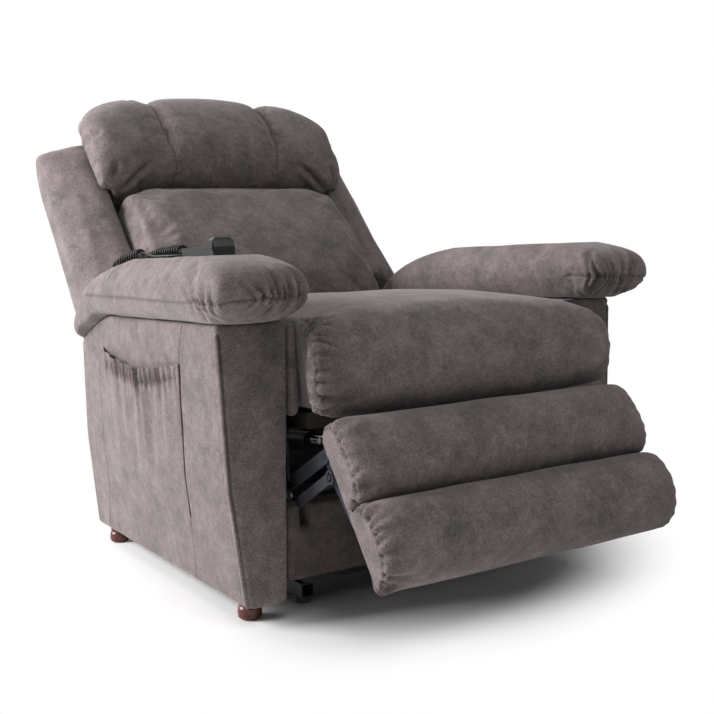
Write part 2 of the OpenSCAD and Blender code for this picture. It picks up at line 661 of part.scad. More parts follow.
// Wings: rings across, each with its own front line
wing_rings = [[0, 26, 8], [0.06, 37, 0], [0.35, 30, 0], [0.75, 6, 0], [0.95, -14, 3], [1, -24, 12]];
function wing_ring(front, shrink) = concat(
  [for (k = [0:4]) let (turn = -66 + k * (66 + asin(front / wing_low)) / 4)
    on_back((wing_low + shrink) * cos(turn), (wing_low + shrink) * sin(turn))],
  [on_back(300, front - shrink), on_back(440, front - shrink), on_back(560, front - shrink - 2),
   on_back(612 - shrink, front - 12), on_back(638 - shrink, -40), on_back(626 - shrink, -66 + shrink),
   on_back(584 - shrink, -92 + shrink), on_back(498, -108 + shrink), on_back(391, -118 + shrink),
   on_back(219, -130 + shrink)]);

module wing() skin([for (w = wing_rings) [for (p = turned(wing_ring(w[1], w[2])))
  [wing_inner + w[0] * (wing_outer - wing_inner), p[0], p[1]]]]);

module wing_left() color("#8d8382") wing();
module wing_right() color("#8d8382") mirror([1, 0, 0]) wing();

// ---- handset, on the right arm pad ----
hand_x = -375;
hand_y = arm_front + 92;
hand_w = 46;
hand_len = 143;
hand_z = pad_top + 0.4;
shell_h = 8;
head_len = 34;
head_h = 31;
button_r = 5.5;
button_gap = 0.25;
button_y = [56, 76, 96, 116];

// rounded plate outline of the handset
module hand_outline(round) {
  for (x = [round, hand_w - round], y = [round, hand_len - round]) translate([x, y]) circle(round,
    $fn = 32);
  translate([round, 0]) square([hand_w - 2 * round, hand_len]);
  translate([0, round]) square([hand_w, hand_len - 2 * round]);
}

module on_hand(z) translate([hand_x - hand_w / 2, hand_y, hand_z + z]) children();

module handset_body() color("#1b1b1d") on_hand(0) linear_extrude(shell_h) hand_outline(9);

module handset_cover() color("#141416") on_hand(shell_h) {
  difference() {
    linear_extrude(7) hand_outline(9);
    for (y = button_y) translate([hand_w / 2, y, -1]) cylinder(r = button_r + button_gap, h = 9,
      $fn = 40);
  }
  hull() {
    translate([4, 0, 0]) cube([hand_w - 8, head_len, 6]);
    translate([0, 4, 0]) cube([hand_w, head_len - 8, 6]);
    translate([3, 7, 0]) cube([hand_w - 6, head_len - 12, head_h - shell_h - 5]);
    translate([9, 11, 0]) cube([hand_w - 18, head_len - 20, head_h - shell_h]);
  }
}

module button(k) on_hand(shell_h + 2.6) translate([hand_w / 2, button_y[k], 0]) {
  cylinder(r = button_r, h = 4.6, $fn = 40);
  translate([0, 0, 4.6]) cylinder(r1 = button_r, r2 = button_r - 1, h = 1, $fn = 40);
}
module button_back() color("#3b3d42") button(0);
module button_legs() color("#3b3d42") button(1);
module button_rise() color("#3b3d42") button(2);
module button_lower() color("#3b3d42") button(3);

// Curly cord: straight out of the handset, along the pad, round and back
cord_z = hand_z + shell_h;
gland_len = 18;
cord_start = 92 + hand_len + gland_len;
curl_free = 18;
wire_d = 2 * wire_r;
curl_turn = 535;
curl_back = 392;
turn_r = 24;
far_x = [-372, -362];
far_len = curl_turn - cord_start;
turn_len = turn_r * PI;
curl_len = far_len + turn_len + curl_turn - curl_back;
curl_pitch = (curl_len - curl_free) / curls;

module handset_gland() color("#141416") translate([far_x[0], arm_front + 92 + hand_len, cord_z])
  rotate([-90, 0, 0]) cylinder(r1 = 5, r2 = 3.2, h = gland_len, $fn = 40);

// height of the curls' axis over the floor, at y behind the arm fronts
function cord_rise(y) = pad_top + curl_r + wire_r + 1 + lookup(y, [[330, 0], [360, -2.5], [400, -2.5],
  [450, -8], [500, -14], [545, -26], [570, -33]]);
function near_rise(l) = cord_z + (cord_rise(300) - cord_z) * ramp((l - wire_d) / 34);
function axis(l) = l < far_len
  ? [far_x[0] + (far_x[1] - far_x[0]) * ramp((l - wire_d) / far_len), arm_front + cord_start + l,
     l < 50 ? near_rise(l) : cord_rise(cord_start + l)]
  : l < far_len + turn_len ? let (a = (l - far_len) / turn_r * 180 / PI, y = curl_turn + turn_r * sin(a))
    [far_x[1] - turn_r + turn_r * cos(a), arm_front + y, cord_rise(y)]
  : let (y = curl_turn - (l - far_len - turn_len)) [far_x[1] - 2 * turn_r, arm_front + y, cord_rise(y)];
function unit(v) = v / norm(v);
function ramp(x) = let (t = min(max(x, 0), 1)) t * t * (3 - 2 * t);
function coil(l) = let (
    t = unit(axis(l + 0.5) - axis(max(l - 0.5, 0))),
    side = unit(cross(t, [0, 0, 1])), up = cross(side, t),
    r = curl_r * ramp((l - curl_free) / curl_pitch) * ramp((curl_len - l) / curl_pitch),
    a = 360 * (l - curl_free) / curl_pitch)
  axis(l) + r * (cos(a) * side + sin(a) * up);
// ring of a tube round the path point i, turned about a steady direction
function ring(path, i, r, sides, ref) = let (n = len(path),
    t = unit(path[min(i + 1, n - 1)] - path[max(i - 1, 0)]), a = unit(cross(t, ref)), b = cross(t, a))
  [for (k = [0:sides - 1]) path[i] + r * (cos(360 * k / sides) * a + sin(360 * k / sides) * b)];
module tube_along(path, r, sides, ref) skin([for (i = [0:len(path) - 1]) ring(path, i, r, sides, ref)]);

curl_rings = 8;
cord_l = concat([0, wire_d], [for (i = [0:curls * curl_rings])
  curl_free + i * (curl_len - curl_free) / (curls * curl_rings)], [curl_len + wire_d]);
cord_path = [for (l = cord_l) coil(l)];
coil_end = cord_path[len(cord_path) - 1];
cord_gap = min([for (i = [0:len(cord_path) - 6], j = [i + 5:min(i + 80, len(cord_path) - 1)])
  norm(cord_path[i] - cord_path[j])]) - wire_d;
echo(cord_gap = cord_gap);
echo(cord_length = sum([for (i = [1:len(cord_path) - 1]) norm(cord_path[i] - cord_path[i - 1])]));

module handset_cord() color("#0e0e10") skin([for (i = [0:len(cord_path) - 1])
  let (n = len(cord_path) - 1, t = unit(cord_path[min(i + 1, n)] - cord_path[max(i - 1, 0)]),
    a = 360 * (cord_l[i] - curl_free) / curl_pitch,
    along = unit(axis(cord_l[i] + 0.5) - axis(max(cord_l[i] - 0.5, 0))),
    side = unit(cross(along, [0, 0, 1])), out = cos(a) * side + sin(a) * cross(side, along),
    e = unit(out - (out * t) * t), f = cross(t, e))
  [for (k = [0:5]) cord_path[i] + wire_r * (cos(60 * k) * e + sin(60 * k) * f)]]);

// Lead from the curls, under the handset's wire and over the pad's inner edge
lead_end = [-299.5, 330, pad_top - 109];
lead_points = [[-410, 368, 641], [-411, 352, 637.4], [-409, 332, 635.4], [-402, 308, 635.2],
  [-391, 285, 635.2], [-377, 270, 635.2], [-360, 262, 634.8], [-344, 260, 633.8], [-328, 262, 631],
  [-315, 268, 625], [-305.5, 277, 607], [-302.5, 292, 588], [-301, 310, 566], [-300, 325, 545]];
lead_path = smooth_open(concat([for (k = [0:2]) coil_end - [0, k * wire_d, 0]],
  [for (p = lead_points) [p[0], arm_front + p[1], p[2] + pad_top - 632]],
  [for (k = [2:-1:0]) [lead_end[0], arm_front + lead_end[1], lead_end[2] + k * wire_d]]), 3);
echo(lead_length = sum([for (i = [1:len(lead_path) - 1]) norm(lead_path[i] - lead_path[i - 1])]));
module cord_lead() color("#0e0e10") tube_along(lead_path, wire_r, 8, [-0.3, 0.55, 0.78]);

module cord_outlet() color("#141416") translate([lead_end[0], arm_front + lead_end[1], lead_end[2]])
  mirror([0, 0, 1]) cylinder(r1 = 5.5, r2 = 8, h = 4.2, $fn = 40);

base_frame();
base_glides();
lift_arms();
lift_links();
lift_motor();
lift_rod();
side_plates();
lift_brackets();
cross_tubes();
frame_pins();
arm_bolts();
seat_deck();
seat_springs();
seat_cushion();
front_rail();
rail_brackets();
rail_bolts();
rear_rail();
arm_right();
arm_left();
arm_pad_right();
arm_pad_left();
inner_pad_right();
inner_pad_left();
side_pocket();
wooden_feet();
control_box();
power_inlet();
rear_links();
guide_links();
front_links();
control_links();
leg_board();
leg_brackets();
leg_roll_upper();
leg_roll_lower();
leg_motor();
leg_rod();
back_motor();
back_rod();
back_frame();
back_brackets();
back_webbing();
back_shell();
lumbar_cushion();
head_cushion();
wing_right();
wing_left();
handset_body();
handset_cover();
button_back();
button_legs();
button_rise();
button_lower();
handset_gland();
handset_cord();
cord_lead();
cord_outlet();
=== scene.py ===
import math
import random

import bmesh
import bpy
import numpy as np
from mathutils import Matrix, Vector, bvhtree, kdtree, noise


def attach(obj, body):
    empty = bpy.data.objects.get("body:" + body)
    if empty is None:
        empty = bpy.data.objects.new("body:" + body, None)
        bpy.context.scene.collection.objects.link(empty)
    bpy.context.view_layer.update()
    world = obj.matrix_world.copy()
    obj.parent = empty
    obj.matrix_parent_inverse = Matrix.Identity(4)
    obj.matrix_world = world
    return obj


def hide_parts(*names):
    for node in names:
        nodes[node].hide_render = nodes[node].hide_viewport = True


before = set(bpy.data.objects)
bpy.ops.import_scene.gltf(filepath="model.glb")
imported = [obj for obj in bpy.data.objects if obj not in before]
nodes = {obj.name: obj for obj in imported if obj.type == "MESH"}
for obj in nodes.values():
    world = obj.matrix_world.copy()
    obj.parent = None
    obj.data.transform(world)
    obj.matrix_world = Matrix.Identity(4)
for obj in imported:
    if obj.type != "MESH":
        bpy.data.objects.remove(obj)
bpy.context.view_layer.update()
scene = bpy.context.scene
print("frame loaded,", len(nodes), "solids")

mm = 0.001
armFront = -417.7  # plane of the arm fronts, mm
padTop = 632
backLean, backFoot = math.radians(42), (620, 450)  # slope of the back, and the point from which s and t count
boardLean, boardFoot = math.radians(35), (-113, 345)  # the same for the leg rest's board


# places, all in millimetres until put()

def put(x, y, z):
    return Vector((x * mm, (armFront + y) * mm, z * mm))  # y counts back from the arm fronts


def onBack(s, t):  # s runs up the back, t comes forward
    return (backFoot[0] + s * math.sin(backLean) - t * math.cos(backLean),
            backFoot[1] + s * math.cos(backLean) + t * math.sin(backLean))


def onBoard(s, t):  # s runs down the leg rest, t comes forward
    return (boardFoot[0] - s * math.sin(boardLean) - t * math.cos(boardLean),
            boardFoot[1] - s * math.cos(boardLean) + t * math.sin(boardLean))


def ease(x):
    x = min(max(x, 0), 1)
    return x * x * (3 - 2 * x)


def lookup(x, table):
    return float(np.interp(x, [row[0] for row in table], [row[1] for row in table]))


def stretch(a, b, count):
    return [(a[0] + (b[0] - a[0]) * k / count, a[1] + (b[1] - a[1]) * k / count) for k in range(count)]


def smoothLine(points, steps, closed=False):
    count = len(points)
    found = []
    for i in range(count if closed else count - 1):
        near = [(i + k) % count if closed else min(max(i + k, 0), count - 1) for k in (-1, 0, 1, 2)]
        a, b, c, d = (np.array(points[k], float) for k in near)
        for j in range(steps):
            t = j / steps
            found.append(0.5 * (2 * b + (c - a) * t + (2 * a - 5 * b + 4 * c - d) * t * t
                                + (3 * b - a - 3 * c + d) * t ** 3))
    if not closed:
        found.append(np.array(points[-1], float))
    return found


def addObject(name, data):
    made = bpy.data.objects.new(name, data)
    scene.collection.objects.link(made)
    return made


# camera

view = {"lens": 53.586, "film": 36, "place": (-1.155561, -2.002129, 0.627),
        "right": (0.84753661, -0.52938184, -0.03790195), "up": (0.08352644, 0.06251937, 0.99454244)}
camera = addObject("camera", bpy.data.cameras.new("camera"))
camera.data.lens = view["lens"]
camera.data.sensor_width = view["film"]
across, upwards = Vector(view["right"]).normalized(), Vector(view["up"])
backwards = across.cross(upwards).normalized()
upwards = backwards.cross(across)
turned = Matrix((across, upwards, backwards)).transposed().to_4x4()
camera.matrix_world = Matrix.Translation(view["place"]) @ turned
scene.camera = camera
print("camera placed")


# nodes of the materials

def linear(code):
    parts = [int(code[i:i + 2], 16) / 255 for i in (1, 3, 5)]
    return tuple(c / 12.92 if c <= 0.04045 else ((c + 0.055) / 1.055) ** 2.4 for c in parts) + (1.0,)


# an input is a value, a socket or a node, of which the first output is meant; to is where the first output goes
def addNode(tree, kind, inputs=None, to=None, stops=(), **settings):
    node = tree.nodes.new("ShaderNode" + kind)
    for key, value in settings.items():
        setattr(node, key, value)
    for key, value in (inputs or {}).items():
        if isinstance(value, bpy.types.Node):
            value = value.outputs[0]
        if isinstance(value, bpy.types.NodeSocket):
            tree.links.new(value, node.inputs[key])
        else:
            node.inputs[key].default_value = value
    if stops:
        elements = node.color_ramp.elements
        while len(elements) < len(stops):
            elements.new(0.5)
        for element, (place, colour) in zip(elements, stops):
            element.position = place
            element.color = linear(colour)
    if to is not None:
        tree.links.new(node.outputs[0], to)
    return node


# returns the material, its tree, its shader and the piece's own coordinates
def newMaterial(name, sockets):
    material = bpy.data.materials.new(name)
    material.use_nodes = True
    tree = material.node_tree
    tree.nodes.clear()
    shader = addNode(tree, "BsdfPrincipled", sockets)
    addNode(tree, "OutputMaterial", {"Surface": shader})
    return material, tree, shader, addNode(tree, "TexCoord").outputs["Object"]


# polyester microfibre, brushed and printed to look like nubuck: cloudy patches about 60 mm across, veins of 16 mm,
# flecks of 3 mm and a nap of 1.3 mm; flecks and nap are drawn coarser than the real ones, so that they show
def makeMicrofibre(name, tones):
    material, tree, shader, place = newMaterial(name, {"Roughness": 0.88, "Specular IOR Level": 0.25,
                                                       "Sheen Weight": 0.22, "Sheen Roughness": 0.45})
    clouds = addNode(tree, "TexNoise", {"Vector": place, "Scale": 16, "Detail": 7, "Roughness": 0.7})
    vein = addNode(tree, "TexNoise", {"Vector": place, "Scale": 62, "Detail": 6, "Roughness": 0.72,
                                      "Distortion": 0.5})
    flecks = addNode(tree, "TexNoise", {"Vector": place, "Scale": 330, "Detail": 3, "Roughness": 0.6})
    nap = addNode(tree, "TexNoise", {"Vector": place, "Scale": 780, "Detail": 2, "Roughness": 0.7})
    patch = addNode(tree, "ValToRGB", {"Fac": clouds},
                    stops=[(0.34, tones["dark"]), (0.5, tones["mid"]), (0.66, tones["warm"])])
    line = addNode(tree, "ValToRGB", {"Fac": vein}, stops=[(0.35, "#5c5b5b"), (0.5, "#838281"), (0.65, "#a6a2a1")])
    speck = addNode(tree, "ValToRGB", {"Fac": flecks}, stops=[(0.36, "#5a5a5a"), (0.64, "#a8a8a8")])
    veined = addNode(tree, "Mix", {0: 0.5, 6: patch, 7: line}, data_type="RGBA", blend_type="OVERLAY")
    flecked = addNode(tree, "Mix", {0: 0.62, 6: veined.outputs[2], 7: speck}, data_type="RGBA",
                      blend_type="OVERLAY")
    # painted shade: the colour is mixed towards a dark brown where the crease attribute marks seams and folds
    dustAndShade = addNode(tree, "Attribute", attribute_name="crease")  # the nap is in shade in seams and folds
    deep = addNode(tree, "Mix", {0: dustAndShade.outputs["Fac"], 6: flecked.outputs[2], 7: linear("#2e2a2a")},
                   data_type="RGBA", clamp_factor=True)
    tree.links.new(deep.outputs[2], shader.inputs["Base Color"])
    soft = addNode(tree, "Bump", {"Strength": 0.25, "Distance": 0.0015, "Height": vein})
    addNode(tree, "Bump", {"Strength": 0.4, "Distance": 0.0006, "Height": nap, "Normal": soft},
            to=shader.inputs["Normal"])
    return material


microfibre = makeMicrofibre("brushedMicrofibre", {"dark": "#7b7572", "mid": "#978888", "warm": "#a79796"})
# a darker copy of the same fabric: painted shade for the rails and the skirt, which lie in shade
railClothInShade = makeMicrofibre("microfibreInPaintedShade", {"dark": "#5c5553", "mid": "#70645f", "warm": "#7c6f6b"})
print("fabric mixed")


# handset cord: curls of thin cable that fall into a loop, then a plain lead to the pad's inner side

cordSpec = {"wire": 2.2, "curl": 9.3, "curls": 36, "free": 18, "start": 253, "turn": 535, "back": 392,
            "turnRadius": 24, "farX": (-372, -362), "height": 640.4, "steps": 16,
            "rise": [(330, 0), (360, -2.5), (400, -2.5), (450, -8), (500, -14), (545, -26), (570, -33)],
            "lead": [(-410, 368, 641), (-411, 352, 637.4), (-409, 332, 635.4), (-402, 308, 635.2), (-391, 285, 635.2),
                     (-377, 270, 635.2), (-360, 262, 634.8), (-344, 260, 633.8), (-328, 262, 631), (-315, 268, 625),
                     (-305.5, 277, 607), (-302.5, 292, 588), (-301, 310, 566), (-300, 325, 545), (-299.5, 330, 523)]}


def cordRise(y):
    return padTop + cordSpec["curl"] + cordSpec["wire"] + 1 + lookup(y, cordSpec["rise"])


def cordAxis(l):
    start, turn, radius, height = (cordSpec[key] for key in ("start", "turn", "turnRadius", "height"))
    far, wire = turn - start, 2 * cordSpec["wire"]
    x0, x1 = cordSpec["farX"]
    if l < far:
        z = height + (cordRise(300) - height) * ease((l - wire) / 34)
        return np.array((x0 + (x1 - x0) * ease((l - wire) / far), start + l, z if l < 50 else cordRise(start + l)))
    if l < far + radius * math.pi:
        a = (l - far) / radius
        y = turn + radius * math.sin(a)
        return np.array((x1 - radius + radius * math.cos(a), y, cordRise(y)))
    y = turn - (l - far - radius * math.pi)
    return np.array((x1 - 2 * radius, y, cordRise(y)))


def curlPoint(l, length, pitch):
    t = cordAxis(l + 0.5) - cordAxis(max(l - 0.5, 0))
    t /= np.linalg.norm(t)
    side = np.cross(t, (0, 0, 1))
    side /= np.linalg.norm(side)
    radius = cordSpec["curl"] * ease((l - cordSpec["free"]) / pitch) * ease((length - l) / pitch)
    a = 2 * math.pi * (l - cordSpec["free"]) / pitch
    return cordAxis(l) + radius * (math.cos(a) * side + math.sin(a) * np.cross(side, t))


def makeCord():
    turn, free, curls = cordSpec["turn"], cordSpec["free"], cordSpec["curls"]
    length = (turn - cordSpec["start"]) + cordSpec["turnRadius"] * math.pi + turn - cordSpec["back"]
    pitch = (length - free) / curls
    count = curls * cordSpec["steps"]
    stops = [0, 2 * cordSpec["wire"]] + [free + i * (length - free) / count for i in range(count + 1)]
    points = [curlPoint(l, length, pitch) for l in stops]
    end = points[-1]
    straight = [end - np.array((0, 4.4 * i, 0)) for i in (1, 2)]
    points += smoothLine([end] + straight + [np.array(p, float) for p in cordSpec["lead"]], 4)[1:]
    curve = bpy.data.curves.new("handsetCord", "CURVE")
    curve.dimensions = "3D"
    spline = curve.splines.new("POLY")
    spline.points.add(len(points) - 1)
    for point, p in zip(spline.points, points):
        point.co = (*put(*p), 1)
    curve.bevel_depth = cordSpec["wire"] * mm
    curve.bevel_resolution = 3
    curve.use_fill_caps = True
    cord = addObject("handsetCord", curve)
    total = sum(np.linalg.norm(b - a) for a, b in zip(points, points[1:]))
    print("cord of", round(total), "mm")
    return cord, points, total


cord, cordPoints, cordLength = makeCord()
# soft PVC jacket, moulded smooth: a satin black with a faint haze in 4 mm patches where it is handled
jacket, tree, shader, place = newMaterial("cordJacket", {"Base Color": linear("#0b0b0c"), "Roughness": 0.42,
                                                         "Specular IOR Level": 0.3})
wear = addNode(tree, "TexNoise", {"Vector": place, "Scale": 240, "Detail": 2})
addNode(tree, "MapRange", {"Value": wear, "To Min": 0.34, "To Max": 0.52}, to=shader.inputs["Roughness"])
cord.data.materials.append(jacket)
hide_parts("handset_cord", "cord_lead")
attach(cord, "chair")
tuple(put(*cordPoints[0]))


# making soft shapes

def objectOf(name, bm, material=microfibre):
    mesh = bpy.data.meshes.new(name)
    bmesh.ops.recalc_face_normals(bm, faces=bm.faces)
    bm.to_mesh(mesh)
    bm.free()
    for polygon in mesh.polygons:
        polygon.use_smooth = True
    piece = addObject(name, mesh)
    piece.data.materials.append(material)
    return piece


def loft(rings):
    bm = bmesh.new()
    face = bm.faces.new([bm.verts.new(put(*p)) for p in rings[0]])
    for k, ring in enumerate(rings[1:]):
        grown = bmesh.ops.extrude_face_region(bm, geom=[face], use_keep_orig=True)
        if k > 0:
            bmesh.ops.delete(bm, geom=[face], context="FACES_ONLY")
        face = [item for item in grown["geom"] if isinstance(item, bmesh.types.BMFace)][0]
        for vert, p in zip(face.verts, ring):
            vert.co = put(*p)
    return bm


def nearestOn(p, a, b):
    ab = b - a
    return a + ab * min(max(float((p - a) @ ab / (ab @ ab)), 0), 1)


def crownedRings(side, spine, count, edge, crown, place):
    spine = [np.array(p, float) for p in spine]
    rings = []
    for i in range(-count, count + 1):
        t = math.sin(math.pi / 2 * i / count)
        full = edge + (1 - edge) * max(1 - abs(t) ** crown, 0) ** (1 / crown)
        ring = []
        for p in side:
            p = np.array(p, float)
            a = nearestOn(p, *spine)
            ring.append(place(t, a + (p - a) * full))
        rings.append(ring)
    return rings


def apply(piece):
    bpy.context.view_layer.update()
    graph = bpy.context.evaluated_depsgraph_get()
    mesh = bpy.data.meshes.new_from_object(piece.evaluated_get(graph), depsgraph=graph)
    piece.modifiers.clear()
    old, piece.data = piece.data, mesh
    bpy.data.meshes.remove(old)
    return piece


def coords(piece):
    found = np.empty(len(piece.data.vertices) * 3)
    piece.data.vertices.foreach_get("co", found)
    return found.reshape(-1, 3)


def setCoords(piece, found):
    piece.data.vertices.foreach_set("co", np.ascontiguousarray(found).ravel())
    piece.data.update()


def normals(piece):
    found = np.empty(len(piece.data.vertices) * 3)
    piece.data.vertex_normals.foreach_get("vector", found)
    return found.reshape(-1, 3)


def push(piece, move):  # each point along its normal, in mm
    setCoords(piece, coords(piece) + normals(piece) * (move * mm)[:, None])


def placed(found):  # metres in the frame to mm, with y counted from the arm fronts
    return found / mm - np.array((0, armFront, 0))


def fine(piece, levels):
    soft = piece.modifiers.new("soft", "SUBSURF")
    soft.levels = soft.render_levels = levels
    soft.use_limit_surface = False
    return apply(piece)


def relax(piece, rounds):
    bm = bmesh.new()
    bm.from_mesh(piece.data)
    for i in range(rounds):
        bmesh.ops.smooth_vert(bm, verts=bm.verts, factor=0.5, use_axis_x=True, use_axis_y=True, use_axis_z=True)
    bm.to_mesh(piece.data)
    bm.free()


def evenGrid(piece, voxel, rounds):
    grid = piece.modifiers.new("grid", "REMESH")
    grid.mode = "VOXEL"
    grid.voxel_size = voxel * mm
    grid.use_smooth_shade = True
    apply(piece)
    relax(piece, rounds)


def thicken(piece, offset):
    wall = piece.modifiers.new("wall", "SOLIDIFY")
    wall.thickness = sheetThick * mm
    wall.offset = offset


sheetThick = 1.4
clothFrames = 20


# Stuffs a closed shape: an even grid, then cloth blown up by pressure and held where it is tacked down
def stuff(piece, spec, held=None, slack=0.0):
    evenGrid(piece, spec["voxel"] * (1), 4)
    start = coords(piece)
    cloth = piece.modifiers.new("cloth", "CLOTH")
    cloth.settings.quality = 4
    cloth.settings.use_pressure = True
    cloth.settings.uniform_pressure_force = spec["pressure"]
    cloth.settings.shrink_min = -slack
    cloth.settings.effector_weights.gravity = 0
    cloth.point_cache.frame_start, cloth.point_cache.frame_end = 1, clothFrames
    if held is not None:
        group = piece.vertex_groups.new(name="tacked")
        group.add(np.nonzero(held(placed(start)))[0].tolist(), 1.0, "REPLACE")
        cloth.settings.vertex_group_mass = "tacked"
    for f in range(1, clothFrames + 1):
        scene.frame_set(f)
    apply(piece)
    scene.frame_set(1)
    piece.vertex_groups.clear()
    moved = coords(piece) - start
    far = np.linalg.norm(moved, axis=1, keepdims=True)
    setCoords(piece, start + moved * np.minimum(1, spec["cap"] * mm / np.maximum(far, 1e-9)))
    print(piece.name, "stuffed,", len(start), "points, moved up to", round(float(far.max()) / mm), "mm")
    return fine(piece, 1)


seamStep = 2


# Drops a line of rough points onto the piece and returns it in steps of seamStep or a little more
def seamOn(piece, points):
    bm = bmesh.new()
    bm.from_mesh(piece.data)
    tree = bvhtree.BVHTree.FromBMesh(bm)
    line = [tree.find_nearest(put(*p))[0] for p in smoothLine(points, 12)]
    bm.free()
    found = [line[0]]
    for a, b in zip(line, line[1:]):
        count = max(1, int((b - a).length / (seamStep * mm)))
        found += [a.lerp(b, (k + 1) / count) for k in range(count)]
    return found


def runsOf(line):  # how far along the seam each of its points lies, mm
    return np.concatenate([[0], np.cumsum([(b - a).length for a, b in zip(line, line[1:])])]) / mm


def alongSeam(piece, line):  # how far each point of the piece is from the seam, and where along it
    tree = kdtree.KDTree(len(line))
    for i, p in enumerate(line):
        tree.insert(p, i)
    tree.balance()
    found = [tree.find(p) for p in map(Vector, coords(piece))]
    return np.array([f[2] for f in found]) / mm, runsOf(line)[np.array([f[1] for f in found])]


# Adds painted shade to the piece's crease attribute, which darkens the microfibre's colour
def shade(piece, rows, amount):
    mesh = piece.data
    layer = mesh.attributes.get("crease") or mesh.attributes.new("crease", "FLOAT", "POINT")
    found = np.zeros(len(mesh.vertices))
    layer.data.foreach_get("value", found)
    found[rows] = np.maximum(found[rows], amount)
    layer.data.foreach_set("value", found)


# A sewn seam: the cloth dips at the stitches and stands up a little beside them, and the stitch line is painted in
# shade
def sew(piece, line, depth, width, lip):
    away = alongSeam(piece, line)[0]
    push(piece, -depth * np.exp(-(away / width) ** 2) + lip * np.exp(-((away - 2.4 * width) / (1.2 * width)) ** 2))
    shade(piece, slice(None), min(1, 0.25 * depth) * np.exp(-(away / 2.4) ** 2))


# Gathers: uneven folds that run away from a seam, each with its own length, width and slant; their troughs are
# painted in shade
def gather(piece, line, spans, pitch, reach, height, seed, sideOf=None, fan=0.0):
    away, run = alongSeam(piece, line)

    def runAt(place):
        if not isinstance(place, tuple):
            return place
        return runsOf(line)[int(np.argmin([(p - put(*place)).length for p in line]))]

    spans = [(runAt(start), runAt(end), share) for start, end, share in spans]
    chance = random.Random(seed)
    rows = np.nonzero(away < 3.2 * reach)[0]
    if sideOf is not None:
        rows = rows[sideOf(placed(coords(piece)[rows]))]
    a, r = away[rows], run[rows]
    move, dark = np.zeros(len(rows)), np.zeros(len(rows))
    for start, end, share in spans:
        place = start
        while place < end:
            middle = (2 * place - start - end) / (end - start)
            wide = chance.uniform(0.2, 0.34) * pitch
            long = reach * chance.uniform(0.45, 1.35)
            deep = height * share * chance.uniform(0.45, 1.1) * (1 - 0.5 * middle ** 4)
            slant = fan * middle + chance.uniform(-0.22, 0.22)
            off = (r - place - slant * a) / (wide * (1 + a / reach))
            move += deep * (-np.exp(-off ** 2) + 0.55 * np.exp(-(np.abs(off) - 2) ** 2)) * np.exp(-(a / long) ** 2)
            dark = np.maximum(dark, 0.13 * deep * np.exp(-(off * 1.3) ** 2) * np.exp(-(a / (0.8 * long)) ** 2))
            place += pitch * chance.uniform(0.6, 1.5)
    shade(piece, rows, np.minimum(dark, 0.6))
    spread = np.zeros(len(away))
    spread[rows] = move
    push(piece, spread)


# One sharp crease with a soft fold beside it, and painted shade along the crease
def crease(piece, points, depth, width):
    line = seamOn(piece, points)
    away, run = alongSeam(piece, line)
    ends = np.clip(run / (0.35 * run.max()), 0, 1) * np.clip((run.max() - run) / (0.35 * run.max()), 0, 1)
    fold = 0.55 * depth * np.exp(-((away - 2 * width) / (1.3 * width)) ** 2)
    push(piece, ends * (-depth * np.exp(-(away / width) ** 2) + fold))
    shade(piece, slice(None), ends * 0.5 * np.exp(-(away / (0.5 * width)) ** 2))


# Broad unevenness of the filling under the cloth
def lump(piece, height, size, seed):
    rise = [noise.noise(Vector(p) * (1000 / size) + Vector((seed, 0, 0))) for p in coords(piece)]
    push(piece, np.array(rise) * height)


def mirrored(piece, name):
    bm = bmesh.new()
    bm.from_mesh(piece.data)
    bmesh.ops.transform(bm, matrix=Matrix.Scale(-1, 4, (1, 0, 0)), verts=bm.verts)
    bmesh.ops.reverse_faces(bm, faces=bm.faces)
    return objectOf(name, bm)  # the crease layer comes along


def finished(piece, body, node):
    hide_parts(*([node] if isinstance(node, str) else node))
    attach(piece, body)


# arms

armSpec = {"round": 9, "low": 34, "top": 518, "side": [(34, 407), (142, 420), (241, 432), (353, 437), (518, 443)],
           "cut": [(34, 0), (142, 17), (241, 33), (353, 51), (458, 68), (476, 102), (500, 182), (518, 247)],
           "length": 782, "inner": 311, "draw": 20,
           "levels": [34, 35.5, 38, 42] + [50 + 9 * i for i in range(50)] + [497, 504, 510, 514, 517, 518],
           "seams": ([(-446, 139, 512), (-442, 164, 445), (-436, 178, 300), (-424, 191, 161), (-410, 213, 40)],
                     [(-446, 586, 500), (-440, 600, 430), (-424, 640, 160), (-412, 697, 40)])}


def armRing(z):
    r = armSpec["round"]
    x0 = -lookup(z, armSpec["side"])
    x1 = -(armSpec["inner"] + armSpec["draw"] * (1 - min(1, (z - armSpec["low"]) / 450)))
    y0, y1 = 0, armSpec["length"] - lookup(z, armSpec["cut"])

    def turn(x, y, start):
        return [(x + r * math.cos(math.radians(start + 22.5 * k)), y + r * math.sin(math.radians(start + 22.5 * k)))
                for k in range(4)]

    points = turn(x1 - r, y0 + r, -90) + stretch((x1, y0 + r), (x1, y1 - r), 78)
    points += turn(x1 - r, y1 - r, 0) + stretch((x1 - r, y1), (x0 + r, y1), 12)
    points += turn(x0 + r, y1 - r, 90) + stretch((x0, y1 - r), (x0, y0 + r), 78)
    points += turn(x0 + r, y0 + r, 180) + stretch((x0 + r, y0), (x1 - r, y0), 12)
    return [(x, y, z) for x, y in points]


